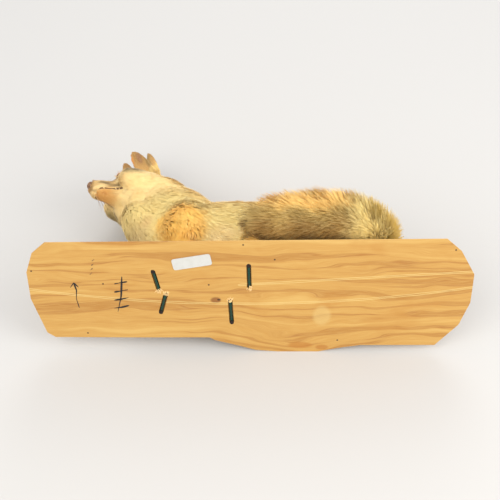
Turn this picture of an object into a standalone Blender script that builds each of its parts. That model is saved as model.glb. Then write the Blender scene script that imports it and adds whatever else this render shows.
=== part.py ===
"""A taxidermy red fox, curled in a crouch on a wooden board, with the whole specimen tipped over on its side.

Everything is designed upright: the board's underside is the plane up = 0, the fox faces -X and its left is -Y.
Sizes are in millimetres, and place() turns (x, left, up) into Blender's metres. One empty, specimen_tipped,
carries every piece. It leans the board back over the floor, so that the specimen rests on the long right-hand
edge of its board and on the coat of its right shoulder and thigh, which that floor presses flat.
"""

import math

import bmesh
import bpy
from mathutils import Matrix, Vector

# Units and clearances
MM = 0.001
GAP = 0.35

# How the specimen lies: the board is past upright by this much, and coat below this level is pressed flat
LEAN = math.radians(13.5)
FLOOR_DEPTH = 122.2

# The board: a plank with sawn ends, a nearly straight left edge and a natural right edge with a bulge
BOARD_THICK = 20.0
BOARD_RIM = 2.0
BOARD_SLOPE_INSET = 17.0
BOARD_OUTLINE = (
    (-329, 103), (315, 110), (341, 86), (367, 40), (368, -18), (354, -66), (318, -111), (190, -111),
    (150, -118), (116, -126), (64, -127), (10, -122), (-17, -113), (-60, -100), (-69, -94), (-206, -94),
    (-333, -93), (-346, -83), (-365, -10), (-365, 45), (-352, 82),
)

# Anchor rods: each comes down out of a leg, turns over and lies in a slot of the underside, hole to tip
ROD_RADIUS = 2.5
SLOT_WIDE = 8.0
SLOT_DEEP = 6.0
RODS = {
    "front_left": ((-158, 43), (-151, 9)),
    "front_right": ((-149, -36), (-140, -2)),
    "hind_left": ((-2, 55), (-1, 15)),
    "hind_right": ((-31, -58), (-33, -16)),
}

# The label on the underside
LABEL_SIZE = (64.0, 22.0, 0.6)
LABEL_AT = (-94.5, 65.5)
LABEL_TURN = math.radians(-10.5)

# The head: its nose tip in the specimen, and how it is turned
NOSE_AT = (-298, 58, 250)
HEAD_YAW = math.radians(27.0)
HEAD_PITCH = math.radians(-19.5)
CHEEK_FULL = {1: 24.5, -1: 29.5}
LIP_OUT = {1: 9.0, -1: 11.0}
THROAT_CUT = ((-124, 0, 0), (-42, 0, 57))
EAR_TIP = {1: (-109, 20, 115), -1: (-108, -13, 122)}
EAR_HALF_WIDE = {1: 16.0, -1: 18.0}
EAR_OPENING = {1: (0.86, 0.5, -0.1), -1: (0.96, 0.14, -0.1)}
EYE_RADIUS = 8.5
EYE_AT = (-64, 19.5, 19.0)

# Where the neck leaves the trunk, and which way that cut faces
COLLAR_AT = (-150, 6, 190)
COLLAR_FACING = (-0.35, 0, 0.94)

# How finely the whole animal is made, and how many triangles are left in it
VOXEL = 2.4
BODY_TRIANGLES = 2600
TAIL_TRIANGLES = 420


# ---------------------------------------------------------------- helpers

def place(x, left, up):
    """A point of the upright specimen in metres."""
    return Vector((x, -left, up)) * MM


HEAD = (
    Matrix.Translation(place(*NOSE_AT))
    @ Matrix.Rotation(HEAD_YAW, 4, "Z")
    @ Matrix.Rotation(HEAD_PITCH, 4, "Y")
)


def on_head(forward, left, up):
    """A point given from the nose tip, in millimetres, as a point of the specimen in metres."""
    return HEAD @ place(-forward, left, up)


def clear_scene():
    for thing in list(bpy.data.objects):
        bpy.data.objects.remove(thing, do_unlink=True)


def link(name, mesh):
    piece = bpy.data.objects.new(name, mesh)
    bpy.context.scene.collection.objects.link(piece)
    return piece


def discard(*pieces):
    for piece in pieces:
        mesh = piece.data
        bpy.data.objects.remove(piece, do_unlink=True)
        bpy.data.meshes.remove(mesh)


def finished(name, bm):
    """Makes an object of a closed mesh, with its faces pointing outwards."""
    bm.normal_update()
    bmesh.ops.recalc_face_normals(bm, faces=bm.faces)
    if bm.calc_volume(signed=True) < 0:
        bmesh.ops.reverse_faces(bm, faces=bm.faces)
    mesh = bpy.data.meshes.new(name)
    bm.to_mesh(mesh)
    bm.free()
    return link(name, mesh)


def settle(piece):
    """Applies every modifier of a piece."""
    bpy.context.view_layer.update()
    graph = bpy.context.evaluated_depsgraph_get()
    mesh = bpy.data.meshes.new_from_object(piece.evaluated_get(graph))
    old = piece.data
    piece.modifiers.clear()
    piece.data = mesh
    bpy.data.meshes.remove(old)
    return piece


def copy_of(piece, name):
    return link(name, piece.data.copy())


def fattened(piece, by):
    """A copy of a piece, larger by a distance all over."""
    grown = copy_of(piece, "grown")
    bm = bmesh.new()
    bm.from_mesh(grown.data)
    bm.normal_update()
    for vert in bm.verts:
        vert.co += vert.normal * by * MM * vert.calc_shell_factor()
    bm.to_mesh(grown.data)
    bm.free()
    return grown


def combine(piece, other, operation):
    """Cuts a piece by another, or joins or intersects the two, and leaves the other as it is."""
    boolean = piece.modifiers.new("combine", "BOOLEAN")
    boolean.operation = operation
    boolean.solver = "EXACT"
    boolean.object = other
    return settle(piece)


def keep_largest(piece):
    """Drops the loose crumbs that a cut can leave, and keeps the biggest body."""
    bm = bmesh.new()
    bm.from_mesh(piece.data)
    left = set(bm.verts)
    bodies = []
    while left:
        body = {left.pop()}
        front = list(body)
        while front:
            vert = front.pop()
            for edge in vert.link_edges:
                other = edge.other_vert(vert)
                if other in left:
                    left.discard(other)
                    body.add(other)
                    front.append(other)
        bodies.append(body)
    bodies.sort(key=len)
    crumbs = [vert for body in bodies[:-1] for vert in body]
    bmesh.ops.delete(bm, geom=crumbs, context="VERTS")
    bm.to_mesh(piece.data)
    bm.free()
    return piece


def box(name, middle, size, turn=None):
    """A box of full sizes in millimetres, round a point in metres, turned by a matrix."""
    bm = bmesh.new()
    bmesh.ops.create_cube(bm, size=1.0)
    scale = Matrix.Diagonal([side * MM for side in size] + [1.0])
    bm.transform(Matrix.Translation(middle) @ (turn or Matrix()) @ scale)
    return finished(name, bm)


def blob(middle, radii, turn=None, name="blob"):
    """An ellipsoid round a point in metres, with radii in millimetres along the turned axes."""
    bm = bmesh.new()
    bmesh.ops.create_icosphere(bm, subdivisions=4, radius=1.0)
    scale = Matrix.Diagonal([radius * MM for radius in radii] + [1.0])
    bm.transform(Matrix.Translation(middle) @ (turn or Matrix()) @ scale)
    return finished(name, bm)


def spline(stations, steps):
    """A smooth curve through stations of equal length, tuple by tuple (Catmull-Rom)."""
    first = tuple(2 * a - b for a, b in zip(stations[0], stations[1]))
    last = tuple(2 * a - b for a, b in zip(stations[-1], stations[-2]))
    held = [first, *stations, last]
    points = []
    for i in range(1, len(held) - 2):
        for step in range(steps):
            t = step / steps
            points.append(tuple(
                0.5 * (2 * p1 + (p2 - p0) * t + (2 * p0 - 5 * p1 + 4 * p2 - p3) * t * t
                       + (3 * p1 - p0 - 3 * p2 + p3) * t * t * t)
                for p0, p1, p2, p3 in zip(held[i - 1], held[i], held[i + 1], held[i + 2])
            ))
    points.append(tuple(stations[-1]))
    return points


def tube(stations, to_world=place, name="tube", sides=24, steps=5, power=2.0, up_axis=(0, 0, 1), caps=5):
    """A round-ended solid along stations (a, b, c, radius across, radius upwards), read by to_world.

    power is the sections' exponent: 2 is an ellipse, and more is boxier. caps is the rings in each round end.
    """
    samples = spline(stations, steps)
    centres = [to_world(*sample[:3]) for sample in samples]
    origin = to_world(0, 0, 0)
    above = (to_world(*up_axis) - origin).normalized()
    rings = []
    for i, (centre, sample) in enumerate(zip(centres, samples)):
        along = (centres[min(i + 1, len(centres) - 1)] - centres[max(i - 1, 0)]).normalized()
        across = along.cross(above).normalized()
        upward = across.cross(along).normalized()
        rings.append((centre, across, upward, along, max(sample[3], 0.5), max(sample[4], 0.5)))
    full = []
    for k in range(caps):
        angle = (math.pi / 2) * (k + 0.35) / (caps + 0.35)
        full.append((rings[0], -math.cos(angle), math.sin(angle)))
    full.extend((ring, 0.0, 1.0) for ring in rings)
    for k in reversed(range(caps)):
        angle = (math.pi / 2) * (k + 0.35) / (caps + 0.35)
        full.append((rings[-1], math.cos(angle), math.sin(angle)))
    bm = bmesh.new()
    loops = []
    for (centre, across, upward, along, wide, high), shift, shrink in full:
        reach = min(wide, high) * shift * MM
        loop = []
        for j in range(sides):
            angle = 2 * math.pi * j / sides
            c = math.cos(angle)
            s = math.sin(angle)
            c = math.copysign(abs(c) ** (2 / power), c)
            s = math.copysign(abs(s) ** (2 / power), s)
            offset = across * (c * wide * shrink * MM) + upward * (s * high * shrink * MM)
            loop.append(bm.verts.new(centre + along * reach + offset))
        loops.append(loop)
    for one, two in zip(loops, loops[1:]):
        for j in range(sides):
            k = (j + 1) % sides
            bm.faces.new((one[j], one[k], two[k], two[j]))
    bm.faces.new(loops[0])
    bm.faces.new(loops[-1])
    return finished(name, bm)


def melted(pieces, name, voxel, rounds, calm=None):
    """One closed skin round overlapping solids: they are joined, remeshed on a grid and smoothed.

    calm(point) is how much a place is smoothed again, from 0 to 1.
    """
    bm = bmesh.new()
    for piece in pieces:
        bm.from_mesh(piece.data)
    whole = finished(name, bm)
    discard(*pieces)
    remesh = whole.modifiers.new("remesh", "REMESH")
    remesh.mode = "VOXEL"
    remesh.voxel_size = voxel * MM
    smooth = whole.modifiers.new("smooth", "SMOOTH")
    smooth.factor = 0.5
    smooth.iterations = rounds
    settle(whole)
    if calm:
        group = whole.vertex_groups.new(name="calm")
        for vert in whole.data.vertices:
            group.add([vert.index], calm(vert.co), "REPLACE")
        more = whole.modifiers.new("calm", "SMOOTH")
        more.factor = 0.5
        more.iterations = 40
        more.vertex_group = "calm"
        settle(whole)
        whole.vertex_groups.clear()
    return whole


def thinned(piece, triangles):
    """Decimates a mesh to about a number of triangles: most stay where the shape curves most."""
    piece.data.calc_loop_triangles()
    decimate = piece.modifiers.new("decimate", "DECIMATE")
    decimate.ratio = triangles / len(piece.data.loop_triangles)
    decimate.use_collapse_triangulate = True
    return settle(piece)


def part_off(body, region, name):
    """Takes what lies in a region off a body as a piece of its own, with a thin gap between the two."""
    piece = copy_of(body, name)
    combine(piece, region, "INTERSECT")
    keep_largest(piece)
    wide = fattened(region, GAP)
    combine(body, wide, "DIFFERENCE")
    keep_largest(body)
    discard(wide, region)
    return piece


def half_space(point, outward, reach=900.0):
    """A large box on the outward side of a plane."""
    turn = outward.to_track_quat("Z", "Y").to_matrix().to_4x4()
    middle = point + outward.normalized() * (reach / 2 * MM)
    return box("half", middle, (reach, reach, reach), turn)


def material(name, colour, roughness, metallic=0.0):
    made = bpy.data.materials.new(name)
    made.use_nodes = True
    shader = made.node_tree.nodes["Principled BSDF"]
    shader.inputs["Base Color"].default_value = (*colour, 1.0)
    shader.inputs["Roughness"].default_value = roughness
    shader.inputs["Metallic"].default_value = metallic
    return made


def dress(piece, surface, smooth=True, sharp=40.0):
    piece.data.materials.clear()
    piece.data.materials.append(surface)
    if smooth:
        piece.data.shade_smooth()
        piece.data.set_sharp_from_angle(angle=math.radians(sharp))
    return piece


# ---------------------------------------------------------------- the board, its rods and its label

def floor_space():
    """All that would lie under the floor on which the tipped specimen rests."""
    down = Vector((0.0, math.cos(LEAN), math.sin(LEAN)))
    return half_space(down * FLOOR_DEPTH * MM, down)


def inset_outline(outline, by):
    """The outline moved inwards by a distance, corner by corner."""
    count = len(outline)
    points = [Vector(p) for p in outline]
    moved = []
    for i in range(count):
        before = (points[i] - points[i - 1]).normalized()
        after = (points[(i + 1) % count] - points[i]).normalized()
        inward = Vector((before.y + after.y, -before.x - after.x)).normalized()
        stretch = 1.0 / max(0.5, inward.dot(Vector((before.y, -before.x))))
        moved.append(points[i] + inward * by * stretch)
    return moved


def make_board():
    bm = bmesh.new()
    levels = ((0.0, 0.0), (0.0, BOARD_RIM), (BOARD_SLOPE_INSET, BOARD_THICK))
    loops = []
    for inset, up in levels:
        corners = inset_outline(BOARD_OUTLINE, inset)
        loops.append([bm.verts.new(place(corner.x, corner.y, up)) for corner in corners])
    for one, two in zip(loops, loops[1:]):
        for j in range(len(one)):
            k = (j + 1) % len(one)
            bm.faces.new((one[j], one[k], two[k], two[j]))
    bm.faces.new(loops[0])
    bm.faces.new(loops[-1])
    board = finished("base_board", bm)
    for hole, tip in RODS.values():
        slot = rod_slot(hole, tip)
        combine(board, slot, "DIFFERENCE")
        discard(slot)
    floor = floor_space()
    combine(board, floor, "DIFFERENCE")
    discard(floor)
    return board


def rod_slot(hole, tip):
    """A round-ended trench in the underside, a little longer than the rod in it."""
    start = Vector(hole)
    end = Vector(tip)
    along = (end - start).normalized()
    across = Vector((-along.y, along.x))
    half = SLOT_WIDE / 2
    outline = []
    for middle, sign in ((start - along, -1), (end + along, 1)):
        for k in range(7):
            angle = -math.pi / 2 + math.pi * k / 6
            offset = along * (math.cos(angle) * sign) + across * (math.sin(angle) * sign)
            outline.append(middle + offset * half)
    bm = bmesh.new()
    low = [bm.verts.new(place(p.x, p.y, -3.0)) for p in outline]
    high = [bm.verts.new(place(p.x, p.y, SLOT_DEEP)) for p in outline]
    for j in range(len(outline)):
        k = (j + 1) % len(outline)
        bm.faces.new((low[j], low[k], high[k], high[j]))
    bm.faces.new(low)
    bm.faces.new(high)
    return finished("slot", bm)


def make_rod(name, hole, tip):
    """A rod lying in its slot, with its nearer end turned up towards the leg that it holds."""
    height = SLOT_DEEP - ROD_RADIUS - GAP
    start = Vector(hole)
    end = Vector(tip)
    along = (end - start).normalized()
    route = [
        (start.x, start.y, height),
        (start.x + along.x * 8, start.y + along.y * 8, height),
        (end.x - along.x * 4, end.y - along.y * 4, height),
        (end.x, end.y, height - 0.6),
    ]
    stations = [(*point, ROD_RADIUS, ROD_RADIUS) for point in route]
    return tube(stations, name=f"rod_{name}", sides=8, steps=1, caps=1)


def make_label():
    wide, high, thick = LABEL_SIZE
    turn = Matrix.Rotation(LABEL_TURN, 4, "Z")
    label = box("label", place(*LABEL_AT, -GAP - thick / 2), LABEL_SIZE, turn)
    bm = bmesh.new()
    bm.from_mesh(label.data)
    upright = [e for e in bm.edges if abs((e.verts[0].co - e.verts[1].co).z) > 0.9 * thick * MM]
    bmesh.ops.bevel(bm, geom=upright, offset=4 * MM, segments=4, affect="EDGES", profile=0.5)
    bm.to_mesh(label.data)
    bm.free()
    return label


# ---------------------------------------------------------------- the animal

def trunk_solids():
    """Chest, belly and rump: (x, left, up, half width, half height)."""
    return [
        tube((
            (-166, 2, 150, 48, 56), (-146, 0, 142, 64, 78), (-110, -2, 134, 76, 90), (-55, -4, 131, 83, 90),
            (0, -5, 130, 85, 90), (60, -6, 127, 87, 88), (110, -6, 122, 89, 85), (150, -5, 114, 84, 79),
            (182, -2, 106, 68, 66),
        ), sides=32, power=2.2),
        blob(place(-156, 2, 140), (48, 54, 66)),
    ]


def neck_solids():
    """The thick coat of the neck, from the back of the head down into the chest."""
    back = HEAD @ place(134, 0, -2)
    start = (back.x / MM, -back.y / MM, back.z / MM)
    return [
        tube((
            (start[0] - 6, start[1], start[2], 44, 42), (start[0] + 12, start[1] - 2, start[2] - 40, 54, 54),
            (-140, 10, 212, 64, 68), (-126, 6, 172, 70, 76), (-115, 0, 135, 70, 70),
        ), sides=28, up_axis=(1, 0, 0)),
        tube((
            (start[0] - 30, start[1] + 8, start[2] - 50, 31, 22), (-202, 9, 198, 47, 33),
            (-182, 5, 170, 58, 37), (-160, 2, 140, 54, 38),
        ), sides=24, up_axis=(1, 0, 0)),
        blob(place(-164, 16, 266), (47, 48, 50)),
    ]


def head_solids():
    """The skull's own shape with its coat, from (forward, left, up) of the nose tip."""
    upper = tube((
        (-9, 0, 0.0, 13.5, 10.5), (-20, 0, -1.0, 16.5, 13.0), (-36, 0, -1.0, 18.0, 14.5),
        (-50, 0, 0.0, 20.5, 17.5), (-62, 0, 3.0, 27.0, 23.0), (-76, 0, 5.0, 37.0, 30.0),
        (-96, 0, 5.5, 45.0, 36.0), (-120, 0, 5.0, 47.0, 38.5), (-142, 0, 2.0, 42.0, 36.0),
    ), to_world=on_head, sides=28, power=2.3, up_axis=(0, 0, 1))
    pieces = [upper]
    turn = HEAD.to_3x3().to_4x4()
    for side in (1, -1):
        ruff_turn = turn @ Matrix.Rotation(side * math.radians(24), 4, "Z")
        pieces.append(blob(on_head(-87, side * 34, -2), (40, CHEEK_FULL[side], 30), turn))
        pieces.append(blob(on_head(-112, side * 44, -13), (33, 20, 24), ruff_turn))
        pieces.append(blob(on_head(-66, side * 16, 25), (13, 7, 6), turn))
        pieces.append(blob(on_head(-24, side * LIP_OUT[side], -8), (17, 9.5, 8.5), turn))
        pieces.append(blob(on_head(-108, side * 24, -26), (38, 24, 26), turn))
        pieces.append(blob(on_head(-88, side * 23, -40), (34, 22, 22), turn))
    return pieces


def jaw_solids():
    """The lower jaw, a little open."""
    return [
        tube((
            (-17, 0, -22.6, 9.5, 5.4), (-34, 0, -25.0, 13.0, 6.6), (-50, 0, -27.0, 17.5, 7.8),
            (-66, 0, -29.0, 24.0, 10.5), (-84, 0, -30.0, 33.0, 14.0), (-104, 0, -30.0, 40.0, 18.0),
        ), to_world=on_head, sides=20, power=2.2, up_axis=(0, 0, 1)),
    ]


FORELEGS = {
    "left": ((-126, 54, 142, 34, 48), (-120, 58, 112, 30, 38), (-98, 59, 82, 25, 26), (-118, 49, 62, 18, 18),
             (-146, 34, 42, 15, 15), (-166, 27, 31, 15, 13), (-186, 24, 28, 17, 11)),
    "right": ((-122, -54, 142, 33, 46), (-116, -58, 114, 29, 36), (-94, -58, 84, 24, 25), (-110, -48, 62, 18, 18),
              (-134, -32, 42, 15, 15), (-152, -22, 31, 15, 13), (-172, -19, 28, 17, 11)),
}
HINDLEGS = {
    "left": ((140, 50, 118, 38, 50), (92, 58, 100, 36, 52), (38, 64, 84, 28, 40), (6, 66, 72, 20, 28),
             (30, 66, 52, 17, 20), (70, 64, 42, 15, 17), (98, 60, 36, 13, 15), (66, 54, 30, 13, 12),
             (30, 46, 29, 14, 12), (0, 39, 29, 16, 12), (-20, 35, 28, 17, 10)),
    "right": ((138, -54, 118, 40, 50), (90, -62, 102, 38, 52), (34, -66, 86, 28, 40), (0, -66, 74, 20, 28),
              (26, -66, 54, 17, 20), (66, -64, 42, 15, 17), (92, -60, 36, 13, 15), (58, -54, 30, 13, 12),
              (16, -46, 29, 14, 12), (-16, -39, 29, 16, 12), (-48, -34, 28, 17, 10)),
}
TAIL = (
    (186, 0, 96, 30, 34), (212, 28, 86, 38, 42), (207, 62, 80, 43, 45), (182, 84, 81, 45, 47),
    (140, 92, 82, 48, 49), (95, 92, 82, 48, 49), (55, 91, 82, 45, 46), (24, 90, 81, 36, 37),
    (8, 90, 81, 22, 24),
)
TAIL_CUTS = (160.0, 74.0)


def region_along(stations, extra):
    """A fatter tube round a limb, which parts it from the trunk."""
    wider = [(x, left, up, wide + extra, high + extra) for x, left, up, wide, high in stations]
    return thinned(melted([tube(wider, sides=16, steps=3)], "region", 6.0, 8), 90)


def make_animal():
    """Head, neck, trunk and legs as one body."""
    solids = trunk_solids() + neck_solids() + head_solids() + jaw_solids()
    for legs in (FORELEGS, HINDLEGS):
        for stations in legs.values():
            solids.append(tube(stations, sides=20))
    nose = place(*NOSE_AT)

    def calm(point):
        """Nothing on the face and the paws, all of it on the neck and the trunk."""
        from_nose = (point - nose).length / MM
        off_board = point.z / MM
        return min(1.0, max(0.0, (from_nose - 90) / 40)) * min(1.0, max(0.0, (off_board - 45) / 30))

    return thinned(melted(solids, "body", VOXEL, 5, calm), BODY_TRIANGLES)


def leaf(base, tip, opening, half_wide, deep, thick, name):
    """A cupped, pointed leaf on the head: each of its sections is a crescent that opens one way."""
    axis = tip - base
    rise = axis.normalized()
    opening = (opening - rise * opening.dot(rise)).normalized()
    across = rise.cross(opening).normalized()
    levels = 7
    spans = 4
    bm = bmesh.new()
    loops = []
    for i in range(levels + 1):
        t = i / levels
        half = half_wide * min(1.0, 0.7 + 1.3 * t) * (1 - t ** 4) ** 0.6 + 1.2
        cup = deep * (1 - t) ** 0.8 + 0.5
        wall = thick * (1 - 0.6 * t)
        middle = base + axis * t - opening * (4.0 * math.sin(math.pi * t))
        outer = []
        inner = []
        for j in range(spans + 1):
            v = -1 + 2 * j / spans
            bow = cup * (1 - v * v)
            rim = wall * (0.35 + 0.65 * math.sqrt(1 - v * v))
            outer.append(middle + across * (half * v) - opening * bow)
            inner.append(middle + across * (half * v * 0.93) - opening * (bow - rim))
        loops.append([bm.verts.new(on_head(*p)) for p in outer + inner[::-1]])
    for one, two in zip(loops, loops[1:]):
        for j in range(len(one)):
            k = (j + 1) % len(one)
            bm.faces.new((one[j], one[k], two[k], two[j]))
    bm.faces.new(loops[0])
    bm.faces.new(loops[-1])
    bmesh.ops.triangulate(bm, faces=bm.faces)
    return finished(name, bm)


def ear_leaves(side, name):
    """One leaf that leans in over the brow. On the left, the rear margin curls up into a lobe of its own."""
    opening = Vector(EAR_OPENING[side])
    base = Vector((-122, side * 34, 8))
    leaves = [leaf(base, Vector(EAR_TIP[side]), opening, EAR_HALF_WIDE[side], 12.0, 6.0, name)]
    if side > 0:
        leaves.append(leaf(Vector((-125, 43, 8)), Vector((-131, 39, 94)), opening, 9.0, 5.0, 6.5, "lobe"))
    return leaves


def make_eye(side, name):
    bm = bmesh.new()
    bmesh.ops.create_uvsphere(bm, u_segments=12, v_segments=8, radius=EYE_RADIUS * MM)
    forward, left, up = EYE_AT
    bm.transform(Matrix.Translation(on_head(forward, side * left, up)))
    return finished(name, bm)


def make_nose():
    turn = HEAD.to_3x3().to_4x4()
    pad = blob(on_head(-5.5, 0, 2.6), (6.2, 8.6, 6.6), turn, "nose")
    return thinned(pad, 110)


def make_teeth():
    """Upper canines and the row of cheek teeth behind each, as cones joined to the head."""
    teeth = []
    rows = [(-23, 10.5, 11.0, 2.6)] + [(-31 - 6.4 * k, 12.0 + 1.25 * k, 5.0, 2.7) for k in range(5)]
    for side in (1, -1):
        for forward, left, length, radius in rows:
            bm = bmesh.new()
            bmesh.ops.create_cone(
                bm, cap_ends=True, segments=6, radius1=radius * MM, radius2=0.6 * MM, depth=(length + 5) * MM,
            )
            top = -12.0
            middle = on_head(forward, side * left, top - length / 2)
            flip = Matrix.Rotation(math.pi, 4, "X")
            bm.transform(Matrix.Translation(middle) @ HEAD.to_3x3().to_4x4() @ flip)
            teeth.append(finished("tooth", bm))
    return teeth


def make_tail():
    tail = tube(TAIL, name="tail", sides=28, steps=6)
    melted_tail = melted([tail], "tail", 3.0, 4)
    return thinned(melted_tail, TAIL_TRIANGLES)


def main():
    clear_scene()
    wood = material("wood", (0.62, 0.36, 0.12), 0.55)
    rod_green = material("rod_green", (0.02, 0.13, 0.08), 0.45, 0.6)
    paper = material("paper", (0.85, 0.85, 0.82), 0.5)
    coat = material("coat", (0.72, 0.45, 0.18), 0.9)
    coat_tail = material("coat_tail", (0.42, 0.28, 0.10), 0.9)
    glass_eye = material("glass_eye", (0.10, 0.05, 0.02), 0.08)
    nose_skin = material("nose_skin", (0.15, 0.07, 0.03), 0.5)

    # The base
    dress(make_board(), wood, sharp=30)
    for name, (hole, tip) in RODS.items():
        dress(make_rod(name, hole, tip), rod_green)
    dress(make_label(), paper, sharp=30)

    # The whole animal, trimmed where it stands on the board and where the floor presses it
    body = make_animal()
    tail = make_tail()
    for trim in (half_space(place(0, 0, BOARD_THICK + GAP), Vector((0, 0, -1))), floor_space()):
        combine(body, trim, "DIFFERENCE")
        discard(trim)
    keep_largest(body)

    # Eyes and nose sit in the head
    trims = [make_eye(1, "eye_left"), make_eye(-1, "eye_right"), make_nose()]
    for trim in trims:
        seat = fattened(trim, GAP)
        combine(body, seat, "DIFFERENCE")
        discard(seat)
    for tooth in make_teeth():
        combine(body, tooth, "UNION")
        discard(tooth)
    dress(trims[0], glass_eye)
    dress(trims[1], glass_eye)
    dress(trims[2], nose_skin)

    # The tail lies against the flank
    seat = fattened(tail, GAP)
    combine(body, seat, "DIFFERENCE")
    keep_largest(body)
    discard(seat)

    # The ears stand in the top of the head
    for side, name in ((1, "ear_left"), (-1, "ear_right")):
        ear, *lobes = ear_leaves(side, name)
        for part in (ear, *lobes):
            seat = fattened(part, 2 * GAP)
            combine(body, seat, "DIFFERENCE")
            discard(seat)
        for lobe in lobes:
            combine(ear, lobe, "UNION")
            discard(lobe)
        dress(ear, coat)
    keep_largest(body)

    # Thin cuts part the body into its nodes
    throat, ahead = (on_head(*point) for point in THROAT_CUT)
    pieces = [part_off(body, half_space(throat, ahead - throat, 300), "head")]
    for side, stations in FORELEGS.items():
        pieces.append(part_off(body, region_along(stations, 5), f"foreleg_{side}"))
    for side, stations in HINDLEGS.items():
        pieces.append(part_off(body, region_along(stations, 5), f"hindleg_{side}"))
    pieces.append(part_off(body, half_space(place(*COLLAR_AT), Vector(COLLAR_FACING), 300), "neck"))
    body.name = "trunk"
    pieces.append(body)
    for piece in pieces:
        dress(piece, coat)

    # The tail in three lengths
    for number, cut in enumerate(TAIL_CUTS):
        behind = half_space(place(cut, 90, 84), Vector((1, 0, 0)), 600)
        dress(part_off(tail, behind, ("tail_root", "tail_middle")[number]), coat_tail)
    tail.name = "tail_tip"
    dress(tail, coat_tail)

    # Tipped over, with its lowest point at z = 0 and its middle over the origin
    specimen = bpy.data.objects.new("specimen_tipped", None)
    bpy.context.scene.collection.objects.link(specimen)
    for piece in bpy.data.objects:
        if piece.type == "MESH":
            piece.parent = specimen
    specimen.rotation_euler.x = -math.pi / 2 - LEAN
    bpy.context.view_layer.update()
    corners = [p.matrix_world @ v.co for p in bpy.data.objects if p.type == "MESH" for v in p.data.vertices]
    low = [min(c[i] for c in corners) for i in range(3)]
    high = [max(c[i] for c in corners) for i in range(3)]
    specimen.location = (-(low[0] + high[0]) / 2, -(low[1] + high[1]) / 2, -low[2])


main()
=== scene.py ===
# %% [markdown]
# # A museum fox, tipped over on its board
# The real object is a mounted fox: a stuffed skin on a plank, held by iron rods. It lies tipped on its side,
# so the underside of its plank faces us. The CAD model gives the true size and place of every part, and this
# script dresses it: wood, iron and paper on the mount, and one skin with a coat of fur on the animal.

# %% Load the frame
import math

import bmesh
import bpy
import numpy as np
from mathutils import Matrix, Vector
from mathutils.bvhtree import BVHTree


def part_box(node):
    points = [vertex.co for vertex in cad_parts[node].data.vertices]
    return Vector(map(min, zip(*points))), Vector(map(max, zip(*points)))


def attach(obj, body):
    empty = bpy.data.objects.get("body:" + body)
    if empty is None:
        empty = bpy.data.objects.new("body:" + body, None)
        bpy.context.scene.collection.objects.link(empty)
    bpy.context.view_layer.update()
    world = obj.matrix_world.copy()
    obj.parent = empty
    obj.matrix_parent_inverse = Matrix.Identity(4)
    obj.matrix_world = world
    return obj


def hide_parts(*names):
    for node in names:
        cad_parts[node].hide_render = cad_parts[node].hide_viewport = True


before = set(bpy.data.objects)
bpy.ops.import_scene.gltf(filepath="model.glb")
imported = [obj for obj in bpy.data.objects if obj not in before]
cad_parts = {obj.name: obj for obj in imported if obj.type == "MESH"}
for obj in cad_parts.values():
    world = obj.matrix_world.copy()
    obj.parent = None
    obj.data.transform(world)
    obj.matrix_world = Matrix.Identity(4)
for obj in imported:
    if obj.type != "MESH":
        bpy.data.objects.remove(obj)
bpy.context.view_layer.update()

# %% [markdown]
# ## Two ways to say where something is
# A fox is easier to think about when it stands upright: x runs from nose to tail, `left` is the fox's own
# left, and `up` is away from the board. The specimen lies tipped, so two small functions turn upright
# millimetres into metres of the scene and back. The label's middle is known in both, and fixes the offset.

# %% Upright millimetres and scene metres
LEAN = math.radians(13.5)
TURN = np.array([
    [1.0, 0.0, 0.0],
    [0.0, math.sin(LEAN), math.cos(LEAN)],
    [0.0, math.cos(LEAN), -math.sin(LEAN)],
])
LABEL_MIDDLE = np.array([-94.5, 65.5, -0.65])
low, high = (np.array(corner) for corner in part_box("label"))
OFFSET = (low + high) / 2 - 0.001 * LABEL_MIDDLE @ TURN


def scene_from_upright(points):
    return OFFSET + 0.001 * np.asarray(points, float) @ TURN


def upright_from_scene(points):
    return 1000.0 * (np.asarray(points, float) - OFFSET) @ TURN


print("board corner", scene_from_upright((-365, 0, 0)).round(4))

# %% [markdown]
# ## The head has a frame of its own
# The head is turned to the fox's left and the nose is down. Places on the face are given as forward, left and
# up of the nose tip, along the head's own axes, so that both sides of the face can share one description.

# %% The head's frame
NOSE = np.array([-298.0, 58.0, 250.0])
head_turn = Matrix.Rotation(math.radians(27.0), 3, "Z") @ Matrix.Rotation(math.radians(-19.5), 3, "Y")
flip = np.array([1.0, -1.0, 1.0])
FORWARD = -np.array(head_turn.col[0]) * flip
LEFT = -np.array(head_turn.col[1]) * flip
UPWARD = np.array(head_turn.col[2]) * flip
HEAD_AXES = np.array([FORWARD, LEFT, UPWARD])


def upright_from_head(places):
    return NOSE + np.asarray(places, float) @ HEAD_AXES


def head_from_upright(points):
    return (np.asarray(points, float) - NOSE) @ HEAD_AXES.T


def scene_from_head(places):
    return scene_from_upright(upright_from_head(places))


print("nose", scene_from_head((0, 0, 0)).round(4))

# %% [markdown]
# ## Camera, floor and light
# The camera looks down on the tipped plank. The floor is one large pale sheet, and the light is soft from all
# round, with one stronger lamp from the upper left, as by a studio window.

# %% Camera
VIEW_TILT = math.radians(35.0) + LEAN
LOOKED_AT = (0, 89.1, 0)
AWAY, LENS, SENSOR = 1.535, 68.83, 36.0


def placed(name, data):
    made = bpy.data.objects.new(name, data)
    bpy.context.scene.collection.objects.link(made)
    return made


aim = Vector((0.0, math.cos(VIEW_TILT), -math.sin(VIEW_TILT)))
camera = placed("camera", bpy.data.cameras.new("camera"))
camera.data.sensor_width = SENSOR
camera.data.lens = LENS
camera.location = Vector(scene_from_upright(LOOKED_AT)) - aim * AWAY
camera.rotation_euler = aim.to_track_quat("-Z", "Y").to_euler()
bpy.context.scene.camera = camera
print("camera height", round(camera.location.z, 3))

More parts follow.
